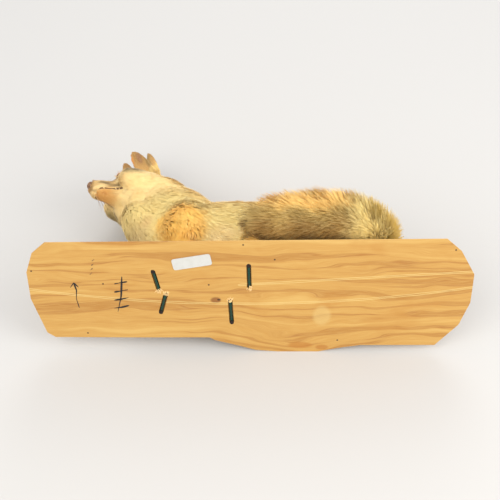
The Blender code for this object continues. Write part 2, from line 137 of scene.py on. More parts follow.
# %% Small helpers for meshes and materials
def linear(red, green, blue):
    """Turns a colour as seen on a screen (0 to 255) into the numbers that light is reckoned with."""
    shares = (red / 255, green / 255, blue / 255)
    return (*(c / 12.92 if c <= 0.04045 else ((c + 0.055) / 1.055) ** 2.4 for c in shares), 1.0)


def unit(vectors):
    """Vectors of the same direction and length 1."""
    return vectors / np.maximum(np.linalg.norm(vectors, axis=-1, keepdims=True), 1e-9)


def piece_from(name, vertices, faces, smooth=True):
    mesh = bpy.data.meshes.new(name)
    mesh.from_pydata([tuple(v) for v in vertices], [], [tuple(f) for f in faces])
    mesh.validate()
    if smooth:
        mesh.shade_smooth()
    return placed(name, mesh)


def applied(thing):
    """Makes a piece's modifiers part of its mesh."""
    bpy.context.view_layer.update()
    graph = bpy.context.evaluated_depsgraph_get()
    mesh = bpy.data.meshes.new_from_object(thing.evaluated_get(graph))
    thing.modifiers.clear()
    thing.data = mesh
    return thing


def wears(thing, surface):
    thing.data.materials.clear()
    thing.data.materials.append(surface)
    return thing


def on_specimen(thing, surface):
    wears(thing, surface)
    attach(thing, "root")
    return thing


def gathered(name, shapes, surface, smooth=True):
    """One piece of the specimen from several shapes, each with its scene points and faces."""
    vertices, faces = [], []
    for shape_vertices, shape_faces in shapes:
        faces += [tuple(i + len(vertices) for i in face) for face in shape_faces]
        vertices += list(shape_vertices)
    return on_specimen(piece_from(name, vertices, faces, smooth), surface)


def sleeve(rings, sides):
    """The faces between rings of points that follow each other."""
    return [
        (i * sides + k, i * sides + (k + 1) % sides, (i + 1) * sides + (k + 1) % sides, (i + 1) * sides + k)
        for i in range(rings - 1) for k in range(sides)
    ]


def started(name, roughness=0.5):
    """A new material, its node tree and its shader's sockets."""
    made = bpy.data.materials.new(name)
    made.use_nodes = True
    shader = made.node_tree.nodes["Principled BSDF"].inputs
    shader["Roughness"].default_value = roughness
    return made, made.node_tree, shader


def plain_material(name, colour, roughness):
    made, _, shader = started(name, roughness)
    shader["Base Color"].default_value = linear(*colour)
    return made


print("helpers ready")

# %% Floor
half = 30.0
floor_corners = [(-half, -half, 0), (half, -half, 0), (half, half, 0), (-half, half, 0)]
floor = piece_from("floor", floor_corners, [(0, 1, 2, 3)])
wears(floor, plain_material("pale floor", (196, 195, 193), 0.85))
print("floor side", 2 * half)

# %% Lights
LIT = Vector((0, 0, 0.1))
for name, place, size, power, tint in (
    ("window", (-1.3, -1.5, 2.1), 2.2, 36.0, (1.0, 0.96, 0.88)),
    ("fill", (1.9, -1.1, 1.4), 1.8, 36.0, (1.0, 0.97, 0.92)),
    ("behind", (0.3, 2.2, 1.9), 1.8, 20.0, (1.0, 0.98, 0.94)),
):
    lamp = placed(name, bpy.data.lights.new(name, "AREA"))
    lamp.data.shape = "DISK"
    lamp.data.size = size
    lamp.data.energy = power
    lamp.data.color = tint
    lamp.location = place
    lamp.rotation_euler = (LIT - Vector(place)).to_track_quat("-Z", "Y").to_euler()
world = bpy.data.worlds.new("studio")
world.use_nodes = True
backdrop = world.node_tree.nodes["Background"].inputs
backdrop["Color"].default_value = (0.98, 0.98, 1.0, 1.0)
backdrop["Strength"].default_value = 0.98
bpy.context.scene.world = world
bpy.context.scene.view_settings.view_transform = "Standard"

# %% [markdown]
# ## A short way to wire shader nodes
# Every pattern here is made of small sums on coordinates, and each step of a sum is a node. Wiring the nodes
# one by one is long to write, so a small class stands for a node's output: adding or multiplying two wires
# puts in the node that does it, and a pattern reads like a formula.

# %% Wires and sums on them
class Wire:
    """A number or a place that changes over a surface, as the output of a node."""

    def __init__(self, socket):
        self.socket = socket
        self.tree = socket.id_data
        self.is_place = socket.type in ("VECTOR", "RGBA")

    def __abs__(self):
        return calc("ABSOLUTE", self)


def put(socket, value):
    """Leads a wire into a socket, or sets the socket's own value."""
    if isinstance(value, Wire):
        socket.id_data.links.new(value.socket, socket)
    else:
        socket.default_value = value


def calc(operation, *values):
    """One step of arithmetic on wires and plain values, by numbers or by places."""
    wires = [value for value in values if isinstance(value, Wire)]
    is_place = any(wire.is_place for wire in wires)
    node = wires[0].tree.nodes.new("ShaderNodeVectorMath" if is_place else "ShaderNodeMath")
    node.operation = operation
    for socket, value in zip(node.inputs, values):
        put(socket, (value,) * 3 if is_place and isinstance(value, float) else value)
    return Wire(node.outputs["Value" if operation in ("LENGTH", "DOT_PRODUCT") or not is_place else "Vector"])


SIGNS = {"add": "ADD", "sub": "SUBTRACT", "mul": "MULTIPLY", "truediv": "DIVIDE", "pow": "POWER"}
for sign, operation in SIGNS.items():
    setattr(Wire, f"__{sign}__", lambda one, other, operation=operation: calc(operation, one, other))
    setattr(Wire, f"__r{sign}__", lambda one, other, operation=operation: calc(operation, other, one))
print("arithmetic on wires ready")


# %% Steps, mixes, noises and places
def between(value, start, end, to_start=0.0, to_end=1.0):
    """A soft step: to_start below start, to_end above end."""
    node = value.tree.nodes.new("ShaderNodeMapRange")
    node.interpolation_type = "SMOOTHSTEP"
    for socket, number in zip(node.inputs, (value, start, end, to_start, to_end)):
        put(socket, number)
    return Wire(node.outputs[0])


def blend(mask, below, above):
    """Colour below where the mask is 0 and above where it is 1. Both are wires, or colours as on a screen."""
    node = mask.tree.nodes.new("ShaderNodeMix")
    node.data_type = "RGBA"
    for number, value in ((0, mask), (6, below), (7, above)):
        put(node.inputs[number], linear(*value) if isinstance(value, tuple) else value)
    return Wire(node.outputs[2])


def layered(base, *coats):
    """Lays colours over a base one by one, each through its mask."""
    for mask, colour in coats:
        base = blend(mask, base, colour)
    return base


def noise(place, detail=3.0, distortion=0.0, colour=False):
    node = place.tree.nodes.new("ShaderNodeTexNoise")
    for socket, value in (("Vector", place), ("Scale", 1.0), ("Detail", detail), ("Distortion", distortion)):
        put(node.inputs[socket], value)
    return Wire(node.outputs["Color" if colour else "Fac"])


def split(place):
    node = place.tree.nodes.new("ShaderNodeSeparateXYZ")
    put(node.inputs[0], place)
    return [Wire(number) for number in node.outputs]


def join(*numbers):
    node = numbers[-1].tree.nodes.new("ShaderNodeCombineXYZ")
    for socket, value in zip(node.inputs, numbers):
        put(socket, value)
    return Wire(node.outputs[0])


def spot(place, middle, radii, soft=0.5):
    """A mask that is 1 inside an ellipsoid and fades to 0 at its edge."""
    return between(calc("LENGTH", (place - middle) / radii), 1.0 - soft, 1.0, 1.0, 0.0)


def patched(base, place, soft, *patches):
    """Paints soft-edged patches over a base. Each row has a middle, radii, a strength and a colour."""
    for middle, radii, strength, colour in patches:
        base = blend(spot(place, middle, radii, soft) * strength, base, colour)
    return base


print("steps and noises ready")

# %% Node groups and materials
def new_group(name, inputs, outputs):
    """An empty node group. Returns its tree, its inputs as wires, and the sockets that take its results."""
    tree = bpy.data.node_groups.new(name, "ShaderNodeTree")
    for way_in, sockets in (("INPUT", inputs), ("OUTPUT", outputs)):
        for socket, kind in sockets.items():
            tree.interface.new_socket(socket, in_out=way_in, socket_type=kind)
    given = tree.nodes.new("NodeGroupInput")
    return tree, [Wire(given.outputs[name]) for name in inputs], tree.nodes.new("NodeGroupOutput").inputs


def use_group(tree, group, **values):
    """Places a group in a tree and returns its outputs as wires, by name."""
    node = tree.nodes.new("ShaderNodeGroup")
    node.node_tree = group
    for socket, value in values.items():
        put(node.inputs[socket.replace("_", " ")], value)
    return {socket.name: Wire(socket) for socket in node.outputs}


def relief(tree, shader, height, strength, distance):
    """Fine bumps on a surface, from a height that changes over it."""
    bump = tree.nodes.new("ShaderNodeBump")
    for socket, value in (("Strength", strength), ("Distance", distance), ("Height", height)):
        put(bump.inputs[socket], value)
    put(shader["Normal"], Wire(bump.outputs["Normal"]))


VALUE, VECTOR, COLOUR = "NodeSocketFloat", "NodeSocketVector", "NodeSocketColor"
print("groups ready")

# %% [markdown]
# ## Coordinates inside a shader
# Two groups repeat the functions above in shader nodes: one gives the upright place in millimetres from the
# object's own coordinates, and one gives the place on the head.

# %% Groups for upright and head places
place_group, (point,), result = new_group("specimen place", {"Point": VECTOR}, {"Upright": VECTOR})
scaled = (point - tuple(OFFSET)) * 1000.0
put(result["Upright"], join(*(calc("DOT_PRODUCT", scaled, tuple(axis)) for axis in TURN)))

head_group, (upright,), result = new_group("head place", {"Upright": VECTOR}, {"Head": VECTOR})
from_nose = upright - tuple(NOSE)
put(result["Head"], join(*(calc("DOT_PRODUCT", from_nose, tuple(axis)) for axis in HEAD_AXES)))


def upright_here(tree):
    """The upright place of the point being shaded."""
    here = Wire(tree.nodes.new("ShaderNodeTexCoord").outputs["Object"])
    return use_group(tree, place_group, Point=here)["Upright"]


print("groups", [g.name for g in bpy.data.node_groups])

# %% [markdown]
# ## The plank
# It is a slab cut along the grain, so the growth rings show as long wavy bands. Near the bulge of the right
# edge the bands bend out with it. The bands come from a noise that is stretched along the plank, and the bend
# is made by shifting the place before the noise reads it.

# %% Wood grain group
wood, (upright,), result = new_group(
    "plank grain", {"Upright": VECTOR}, {"Colour": COLOUR, "Roughness": VALUE, "Relief": VALUE}
)
BULGE_AT, BULGE_LONG = 90.0, 105.0
x, left, up = split(upright)
from_bulge = (x - BULGE_AT) / BULGE_LONG
bulge = 2.718 ** (from_bulge * from_bulge * -1.0)
slow = noise(upright * (0.006, 0.02, 0.02), 2.0)
across = left + bulge * between(left, 20.0, -120.0) * 30.0 + (slow - 0.5) * 46.0
bands = noise(join(x * 0.0022, across * 0.075, up * 0.05), 3.0, 0.35)
fibres = noise(join(x * 0.03, across * 1.1, up))
stain = noise(upright * (0.011, 0.016, 0.016))
honey = layered(
    blend(between(bands, 0.34, 0.52), (174, 121, 51), (194, 146, 72)),
    (between(bands, 0.52, 0.72), (207, 166, 92)),
    (between(abs(bands - 0.43), 0.0, 0.022, 0.75, 0.0), (162, 105, 41)),
    (between(fibres, 0.35, 0.75, 0.0, 0.35), (214, 178, 105)),
    (between(stain, 0.55, 0.75, 0.0, 0.45), (182, 125, 50)),
)
put(result["Roughness"], between(bands, 0.3, 0.7, 0.42, 0.6))
put(result["Relief"], bands * 0.6 + fibres * 0.4)
print("plank grain nodes", len(wood.nodes))

# %% Knots, stains, nail holes and scratches in the wood
honey = patched(
    honey, upright, 0.45,
    ((121, -46, 0), (19, 26, 9), 0.5, (212, 182, 115)),
    ((-57, -13, 0), (11, 8, 9), 0.85, (134, 82, 33)),
    ((-52, -12, 0), (3.5, 2.5, 9), 1.0, (75, 43, 17)),
    ((86, -111, 0), (26, 9, 9), 0.6, (174, 109, 31)),
    ((124, -116, 0), (14, 7, 9), 0.6, (169, 103, 30)),
    ((240, -60, 0), (60, 26, 9), 0.25, (183, 126, 51)),
)
# Dark spots at the nail holes are painted shade, where the holes lie in shadow.
for hole in ((-68, 19), (-357, 47), (-242, 21), (-277, -84), (331, 89), (-11, 99), (150, -100), (40, 70)):
    honey = blend(spot(upright, (*hole, 0), (2.0, 2.0, 6.0)), honey, (53, 36, 19))
bowed = abs(left - ((x + 10.0) ** 2.0 * 0.00024 - 20.5))
straight = abs(left - (x * 0.0705 + 20.1)) + between(x, -16.0, -30.0, 0.0, 9.0)
wobble = noise(upright * (0.02, 0.0, 0.0)) * 3.0
for distance in (bowed, straight):
    honey = blend(between(abs(distance - wobble), 0.15, 0.9, 0.75, 0.0), honey, (222, 198, 129))
put(result["Colour"], honey)
print("with knots and scratches", len(wood.nodes))

# %% Dress the plank
plank, tree, shader = started("plank")
grain = use_group(tree, wood, Upright=upright_here(tree))
put(shader["Base Color"], grain["Colour"])
put(shader["Roughness"], grain["Roughness"])
relief(tree, shader, grain["Relief"], 0.25, 0.0006)
wears(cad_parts["base_board"], plank)
print("plank dressed")

# %% [markdown]
# ## Rods, holes, label and marker strokes
# Each anchor rod comes down out of a leg through a drilled hole, is bent over and lies in a chiselled slot.
# The hole is a dark disc of painted shade, and the far end of the slot is pale where the chisel tore
# the wood. The label is blank paper, and the marker strokes are a plain arrow and a few tally lines.

# %% Iron and paper
iron, tree, shader = started("green iron")
rust = noise(upright_here(tree) * 0.35, 4.0)
put(shader["Base Color"], blend(between(rust, 0.45, 0.65), (24, 74, 62), (60, 66, 50)))
put(shader["Roughness"], between(rust, 0.3, 0.7, 0.35, 0.7))
shader["Metallic"].default_value = 0.5
for name in ("rod_front_left", "rod_front_right", "rod_hind_left", "rod_hind_right"):
    wears(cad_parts[name], iron)

paper, tree, shader = started("label paper", 0.45)
upright = upright_here(tree)
tone = blend(between(noise(upright * 0.12, 4.0), 0.4, 0.7), (202, 202, 197), (197, 197, 191))
worn = between(noise(upright * 0.5, 2.0), 0.66, 0.8, 0.0, 0.4)
put(shader["Base Color"], blend(worn, tone, (196, 192, 180)))
wears(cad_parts["label"], paper)
print("iron and paper dressed")

# %% Holes and torn wood at the slots
RODS = {
    "front_left": ((-158, 43), (-151, 9)),
    "front_right": ((-149, -36), (-140, -2)),
    "hind_left": ((-2, 55), (-1, 15)),
    "hind_right": ((-31, -58), (-33, -16)),
}
CHIPS = 26
rng = np.random.default_rng(7)
# The dark disc in each drilled hole is painted shade: the colour of the hole's shadowed depth.
hole_shade = plain_material("drilled hole", (34, 22, 14), 0.95)
torn_wood = plain_material("torn wood", (240, 208, 150), 0.8)


def ragged_disc(middle, radius, up, dome, sides=22):
    """A low uneven dome under the board, open above, where it meets the wood."""
    turned = [2 * math.pi * k / sides for k in range(sides)]
    reach = [radius * (0.82 + 0.3 * rng.random()) for _ in turned]
    vertices = [(middle[0], middle[1], up - dome)]
    for share, lower in ((0.6, 0.8), (1.0, 0.0)):
        for angle, r in zip(turned, reach):
            x, left = middle[0] + math.cos(angle) * r * share, middle[1] + math.sin(angle) * r * share
            vertices.append((x, left, up - dome * lower))
    faces = [(0, 1 + k, 1 + (k + 1) % sides) for k in range(sides)]
    faces += [(1 + k, 1 + sides + k, 1 + sides + (k + 1) % sides, 1 + (k + 1) % sides) for k in range(sides)]
    return vertices, faces


def splinter(start, along, length, wide, up):
    """A thin three-sided sliver of wood."""
    side = np.array([-along[1], along[0]])
    a = np.array(start)
    b = a + np.array(along) * length
    vertices = [(*(a - side * wide), up), (*(a + side * wide), up), (*a, up - wide * 1.2), (*b, up - 0.15)]
    return vertices, [(0, 2, 3), (2, 1, 3), (1, 0, 3), (0, 1, 2)]


def on_board(name, shapes, surface):
    """One flat-shaded piece on the plank from shapes in upright millimetres."""
    shapes = [(scene_from_upright(vertices), faces) for vertices, faces in shapes]
    gathered(name, shapes, surface, smooth=False)


for name, (hole, tip) in RODS.items():
    along = unit(np.array(tip, float) - np.array(hole, float))
    across = np.array([-along[1], along[0]])
    on_board(f"hole_{name}", [ragged_disc(np.array(hole) - along * 3.0, 4.2, 0.05, 0.25)], hole_shade)
    chips = []
    for k in range(CHIPS):
        start = np.array(tip) + along * rng.uniform(-2.0, 6.0) + across * rng.uniform(-4.2, 4.2)
        bearing = math.atan2(along[1], along[0]) + rng.normal(0, 0.55)
        way = (math.cos(bearing), math.sin(bearing))
        chips.append(splinter(start, way, rng.uniform(2.5, 6.5), rng.uniform(0.3, 0.8), 0.1))
    on_board(f"torn_{name}", chips, torn_wood)
print("slots finished", len(RODS))

# %% Marker strokes
marker_ink = plain_material("marker ink", (28, 25, 24), 0.5)


def stroke(route, wide=1.3, steps=10):
    """A flat felt-tip line along a route of board places, 0.15 mm deep, with swelling and tapering width."""
    route = np.array(route, float)
    t = np.linspace(0, len(route) - 1, (len(route) - 1) * steps + 1)
    line = np.array([np.interp(t, range(len(route)), route[:, k]) for k in (0, 1)]).T
    along = unit(np.gradient(line, axis=0))
    side = np.stack([-along[:, 1], along[:, 0]], axis=1)
    share = np.linspace(0, 1, len(line))
    tapering = np.minimum(1, 0.45 + 4 * np.minimum(share, 1 - share))
    half = wide * (0.75 + 0.35 * np.sin(share * 5 + route[0, 0])) * tapering
    corners = ((-1, -0.02), (1, -0.02), (1, -0.17), (-1, -0.17))
    vertices = [(*(line[i] + side[i] * half[i] * sign), up) for i in range(len(line)) for sign, up in corners]
    end = 4 * (len(line) - 1)
    return vertices, sleeve(len(line), 4) + [(3, 2, 1, 0), (end, end + 1, end + 2, end + 3)]


arrow = [
    stroke([(-286, -29), (-289, -10), (-287, 8), (-290, 22)]),
    stroke([(-283, 14), (-290, 23), (-297, 13)], 1.1),
]
tally = [
    stroke([(-228 + 1.5 * k, -30 + 17 * k), (-215, -28 + 17 * k), (-202, -24 + 16.5 * k)], 1.7)
    for k in range(4)
]
tally.append(stroke([(-222, -38), (-214, -4), (-210, 36)], 1.5))
smudge = [stroke([(-262 + 2 * k, 40 + 9 * k), (-258 + 2 * k, 44 + 9 * k)], 0.9, 4) for k in range(4)]
on_board("marker_arrow", arrow, marker_ink)
on_board("marker_tally", tally, marker_ink)
on_board("marker_smudge", smudge, plain_material("faded ink", (110, 84, 54), 0.6))
print("strokes", len(arrow) + len(tally) + len(smudge))

# %% [markdown]
# ## From solid to skin
# The CAD solids are the fox out to the tips of its coat. A voxel remesh melts them into one closed body, and
# moving every point inwards by the coat's depth leaves the skin. The depth is small on the face and feet, and
# large on the neck, flanks and tail.

# %% Which part of the fox a point belongs to
ZONES = {
    "head": ["head"], "neck": ["neck"], "trunk": ["trunk"], "ear": ["ear_left", "ear_right"],
    "foreleg": ["foreleg_left", "foreleg_right"], "hindleg": ["hindleg_left", "hindleg_right"],
}
TAIL_NODES = ["tail_root", "tail_middle", "tail_tip"]
ZONE_NAMES = np.array(list(ZONES))


def solid_mesh(names, grow=0.0):
    """The named CAD solids in one bmesh, each made larger by a little so that they overlap."""
    bm = bmesh.new()
    for name in names:
        bm.from_mesh(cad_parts[name].data)
    bmesh.ops.remove_doubles(bm, verts=bm.verts, dist=1e-6)
    bm.normal_update()
    for vert in bm.verts:
        vert.co += vert.normal * grow
    return bm


corners, triples, zone_of_face = [], [], []
for number, names in enumerate(ZONES.values()):
    bm = solid_mesh(names)
    bm.verts.index_update()
    triples += [tuple(v.index + len(corners) for v in face.verts) for face in bm.faces]
    corners += [tuple(v.co) for v in bm.verts]
    zone_of_face += [number] * len(bm.faces)
    bm.free()
zone_search = BVHTree.FromPolygons(corners, triples)
zone_of_face = np.array(zone_of_face)


def zone_of(points):
    """For each scene point, the name of the nearest part of the fox."""
    return ZONE_NAMES[zone_of_face[[zone_search.find_nearest(point)[2] for point in points]]]


print("zones", list(ZONES), "faces", len(triples))

# %% Melt the solids and shrink them to the skin
def voxel_melt(bm, name, voxel, rounds):
    thing = placed(name, bpy.data.meshes.new(name))
    bm.to_mesh(thing.data)
    bm.free()
    remesh = thing.modifiers.new("melt", "REMESH")
    remesh.mode = "VOXEL"
    remesh.voxel_size = voxel
    smooth = thing.modifiers.new("smooth", "SMOOTH")
    smooth.factor = 0.5
    smooth.iterations = rounds
    return applied(thing)


def read(items, what, width=3, kind=float):
    """What every vertex, edge or triangle of a mesh says, as rows of numbers."""
    values = np.empty(width * len(items), kind)
    items.foreach_get(what, values)
    return values.reshape(-1, width)


def evened(values, edges, rounds):
    """Each point's value is averaged with its neighbours', several times."""
    if np.ndim(values) == 2:
        return np.stack([evened(column, edges, rounds) for column in values.T], axis=1)
    values = values.astype(float)
    count = np.bincount(edges.ravel(), minlength=len(values))
    for _ in range(rounds):
        total = np.bincount(edges[:, 0], values[edges[:, 1]], len(values))
        total += np.bincount(edges[:, 1], values[edges[:, 0]], len(values))
        values = 0.5 * values + 0.5 * total / np.maximum(count, 1)
    return values


MOUTH_LEVEL = -15.8


def at_lips(upright):
    """How near each point is to the mouth's edge: 1 on the lips, 0 a few millimetres away from them."""
    forward, left, up = head_from_upright(upright).T
    near = np.clip(1.5 - np.abs(up - MOUTH_LEVEL) / 6.0, 0, 1)
    return near * np.clip((forward + 66) / 6, 0, 1) * np.clip((26 - np.abs(left)) / 4, 0, 1)


def coat_depth(upright, zones):
    """How deep the coat is over each point of the body, in millimetres."""
    from_nose = np.linalg.norm(head_from_upright(upright), axis=1)
    depth = np.interp(from_nose, (0, 25, 56, 80, 104, 134, 170), (1.0, 1.6, 2.4, 4.5, 8.0, 11.0, 13.0))
    in_leg = (zones == "foreleg") | (zones == "hindleg")
    depth[in_leg] = np.interp(upright[in_leg, 2], (22, 34, 52, 75, 110), (2.2, 2.8, 4.5, 8.0, 12.5))
    belly = (zones == "trunk") & (upright[:, 2] < 70)
    depth[belly] = np.interp(upright[belly, 2], (30, 70), (9.0, 13.0))
    depth[zones == "ear"] = 1.3
    return depth


nose_and_nape = upright_from_head(np.array([(0.0, 0, 0), (-150.0, 0, 0)]))
print("coat at the nose and the nape", coat_depth(nose_and_nape, np.array(["head", "head"])).round(1))

# %% Shrink the melted body by the coat's depth
BODY_NODES = [name for zone, names in ZONES.items() if zone != "ear" for name in names]
OVERLAP, BODY_GRAIN, MELT_ROUNDS = 0.0004, 0.0024, 3
body = voxel_melt(solid_mesh(BODY_NODES, OVERLAP), "body", BODY_GRAIN, MELT_ROUNDS)
points = read(body.data.vertices, "co")
edges = read(body.data.edges, "vertices", 2, int)
upright = upright_from_scene(points)
zones = zone_of(points)
zones = np.where(zones == "ear", "head", zones)
depth = evened(coat_depth(upright, zones), edges, 40)
depth *= 1 - 0.8 * at_lips(upright)
points -= read(body.data.vertices, "normal") * depth[:, None] * 0.001
print("body points", len(points), "mean coat", round(depth.mean(), 1))

# %% Calm the skin under the deep coat and at the angle of the jaw
CALMING_ROUNDS = 230
JAW_ANGLE, JAW_RADII = (-62, 22, -38), (28, 22, 22)
calm = evened(points, edges, CALMING_ROUNDS)
mirrored = head_from_upright(upright)
mirrored[:, 1] = np.abs(mirrored[:, 1])
jaw_angle = 1.6 - 1.6 * np.linalg.norm((mirrored - JAW_ANGLE) / JAW_RADII, axis=1)
calmed = np.maximum(0.9 * np.clip((depth - 4.5) / 6.0, 0, 1), np.clip(jaw_angle, 0, 0.95))
shift = (calm - points) * calmed[:, None]
points += shift
body.data.vertices.foreach_set("co", points.ravel())
print("calmed by", round(1000 * float(np.linalg.norm(shift, axis=1).max()), 1), "mm at most")

# %% [markdown]
# ## What the solids leave out
# Ears, eyelids, lips, toes and the tail's core are added as simple overlapping shapes. A last melt at a finer
# grain joins them all to the body, so the animal has one skin from nose to tail.

# %% Shapes for ears, lids, toes and tail
def ring_tube(stations, sides=16):
    """A closed tube along a route of scene points, with a radius in metres at each."""
    route = np.array([s[:3] for s in stations], float)
    radius = np.array([s[3] for s in stations], float)
    along = unit(np.gradient(route, axis=0))
    side = unit(np.cross(along, (0.03, 0.2, 1.0)))
    over = np.cross(side, along)
    angles = np.linspace(0, 2 * math.pi, sides, endpoint=False)
    outward = [np.outer(np.cos(angles), a) + np.outer(np.sin(angles), b) for a, b in zip(side, over)]
    rings = [middle + reach * out for middle, reach, out in zip(route, radius, outward)]
    caps = [route[:1] - along[:1] * radius[0] * 0.6, route[-1:] + along[-1:] * radius[-1] * 0.6]
    faces = sleeve(len(route), sides)
    first, last = len(route) * sides, len(route) * sides + 1
    end = (len(route) - 1) * sides
    for k in range(sides):
        m = (k + 1) % sides
        faces += [(first, m, k), (last, end + k, end + m)]
    return np.concatenate(rings + caps), faces


def smooth_route(stations, steps=6):
    """A Catmull-Rom curve through stations, number by number."""
    s = np.array(stations, float)
    s = np.vstack([2 * s[0] - s[1], s, 2 * s[-1] - s[-2]])
    points = []
    for before, here, after, beyond in zip(s[:-3], s[1:-2], s[2:-1], s[3:]):
        for t in np.arange(steps) / steps:
            square = 2 * before - 5 * here + 4 * after - beyond
            cube = 3 * here - before - 3 * after + beyond
            points.append(0.5 * (2 * here + (after - before) * t + square * t ** 2 + cube * t ** 3))
    points.append(s[-2])
    return np.array(points)


def ear_leaf(base, tip, opening, half_wide, deep, thick, levels=26, spans=14):
    """A cupped, blunt leaf on the head: each section is a crescent that opens one way."""
    base, tip, opening = (np.array(v, float) for v in (base, tip, opening))
    rise = unit(tip - base)
    opening = unit(opening - rise * opening.dot(rise))
    across = np.cross(rise, opening)
    loops = []
    for i in range(levels + 1):
        t = i / levels
        half = half_wide * min(1.0, 0.7 + 1.3 * t) * (1 - t ** 4) ** 0.6 + 0.8
        cup = deep * (1 - t) ** 0.8 + 0.5
        middle = base + (tip - base) * t * 0.985 - opening * (4.0 * math.sin(math.pi * t) - 0.6)
        v = np.linspace(-1, 1, spans + 1)
        bow = cup * (1 - v ** 2)
        wall = thick * (1 - 0.4 * t) * (0.7 + 0.3 * np.sqrt(1 - v ** 2))
        outer = middle + np.outer(half * v, across) - np.outer(bow, opening)
        inner = middle + np.outer(half * v * 0.96, across) - np.outer(bow - wall, opening)
        loops.append(np.vstack([outer, inner[::-1]]))
    count = len(loops[0])
    ends = [tuple(range(count))[::-1], tuple(levels * count + j for j in range(count))]
    return np.concatenate(loops), sleeve(levels + 1, count) + ends


def blob(middle, radii, axes=np.eye(3), rings=12, sides=18):
    """An ellipsoid in scene metres, with its radii along the given axes."""
    one, two, three = (axis * radius for axis, radius in zip(axes, radii))
    vertices = [middle + three]
    for i in range(1, rings):
        a = math.pi * i / rings
        for b in 2 * math.pi * np.arange(sides) / sides:
            aside = one * math.cos(b) + two * math.sin(b)
            vertices.append(middle + aside * math.sin(a) + three * math.cos(a))
    vertices.append(middle - three)
    faces = [(0, 1 + k, 1 + (k + 1) % sides) for k in range(sides)]
    for i in range(rings - 2):
        for k in range(sides):
            a, b = 1 + i * sides + k, 1 + i * sides + (k + 1) % sides
            faces.append((a, a + sides, b + sides, b))
    last = len(vertices) - 1
    faces += [(last, last - sides + (k + 1) % sides, last - sides + k) for k in range(sides)]
    return np.array(vertices), faces


print("shape helpers ready")

# %% Where the eyes, ears, lips, paws and tail are
HEAD_IN_SCENE = HEAD_AXES @ TURN
EYE_PLACE, EYE_RADIUS = np.array([-64.0, 19.5, 19.0]), 8.5
EAR_TIP = {1: (-109, 20, 115), -1: (-108, -13, 122)}
EAR_HALF_WIDE = {1: 15.2, -1: 17.2}
EAR_OPENING = {1: (0.86, 0.5, -0.1), -1: (0.96, 0.14, -0.1)}
LOOK_OUT = {side: unit(np.array([0.62, 0.76 * side, 0.14])) for side in (1, -1)}
UPPER_LIP = (
    (-6, 3, -11.5, 2.0), (-12, 9.5, -12.6, 2.2), (-22, 13.6, -13.4, 2.2), (-34, 14.8, -12.8, 2.2),
    (-46, 17, -12.6, 2.2), (-58, 21, -13.4, 2.4),
)
LOWER_LIP = (
    (-13, 3, -17.4, 2.0), (-21, 9.2, -17.6, 2.0), (-34, 12.6, -17.8, 2.0), (-44, 15.4, -18.6, 1.7),
    (-52, 17.6, -18.8, 1.7), (-60, 21.5, -17.0, 2.4),
)
PAWS = {
    "front_left": ((-186, 24, 28), (-166, 27, 31)), "front_right": ((-172, -19, 28), (-152, -22, 31)),
    "hind_left": ((-20, 35, 28), (0, 39, 29)), "hind_right": ((-48, -34, 28), (-16, -39, 29)),
}
TAIL = (
    (150, 0, 112, 24, 24), (186, 0, 96, 30, 34), (212, 28, 86, 38, 42), (207, 62, 80, 43, 45),
    (182, 84, 81, 45, 47), (140, 92, 82, 48, 49), (95, 92, 82, 48, 49), (55, 91, 82, 45, 46),
    (24, 90, 81, 36, 37), (8, 90, 81, 22, 24),
)
TOE_GAP, TOE_REACH, TOE_RADII = 7.2, 12.5, (0.0085, 0.0042, 0.0052)
TOES = []
for toe, heel in PAWS.values():
    along = unit(np.subtract(toe, heel) * (1.0, 1.0, 0.0))
    axes = np.array([along, (-along[1], along[0], 0.0), (0.0, 0.0, 1.0)])
    for off_middle in (-1.5, -0.5, 0.5, 1.5):
        spread = off_middle * TOE_GAP
        TOES.append((toe + along * (TOE_REACH - 1.6 * off_middle ** 2) + axes[1] * spread, axes, spread))
print("toes", len(TOES), "tail stations", len(TAIL))

# %% Ears and lids
LID_REACH = 1.15
shapes = []
for side in (1, -1):
    opening = EAR_OPENING[side]
    leaves = [ear_leaf((-122, side * 34, 8), EAR_TIP[side], opening, EAR_HALF_WIDE[side], 12.0, 4.2)]
    if side > 0:
        leaves.append(ear_leaf((-125, 43, 8), (-131, 39, 93), opening, 8.2, 5.0, 5.0))
    shapes += [(scene_from_head(vertices), faces) for vertices, faces in leaves]
    eye = EYE_PLACE * (1, side, 1)
    look_out = LOOK_OUT[side]
    corner = unit(np.cross(look_out, (0, 0, 1.0)))
    above = np.cross(corner, look_out)
    above *= np.sign(above[2])
    for lift, thick in ((0.50, 2.3), (-0.42, 2.0)):
        arc = []
        for t in np.linspace(-LID_REACH, LID_REACH, 13):
            spread = math.sin(t) * 0.98
            rise = lift * (1 - (t / LID_REACH) ** 2)
            ahead = math.sqrt(max(0.05, 1 - spread ** 2 - rise ** 2))
            out = look_out * ahead + corner * spread + above * rise
            arc.append((*scene_from_head(eye + out * (EYE_RADIUS + 0.6)), thick * 0.001))
        shapes.append(ring_tube(arc, 10))
print("ears and lids", len(shapes))

# %% Toes, lips and the tail's core
TAIL_HAIR = 26.0
for middle, axes, spread in TOES:
    shapes.append(blob(scene_from_upright(middle + (0, 0, -1.2)), TOE_RADII, axes @ TURN))
for side in (1, -1):
    for lip in (UPPER_LIP, LOWER_LIP):
        stations = [(*scene_from_head((f, side * out, up)), 0.001 * radius) for f, out, up, radius in lip]
        shapes.append(ring_tube(smooth_route(stations), 10))
core = smooth_route(TAIL[:-1])
for_tail = [(*scene_from_upright(s[:3]), 0.001 * max(8.0, min(s[3], s[4]) - TAIL_HAIR)) for s in core]
shapes.append(ring_tube(for_tail, 24))
print("added shapes", len(shapes))

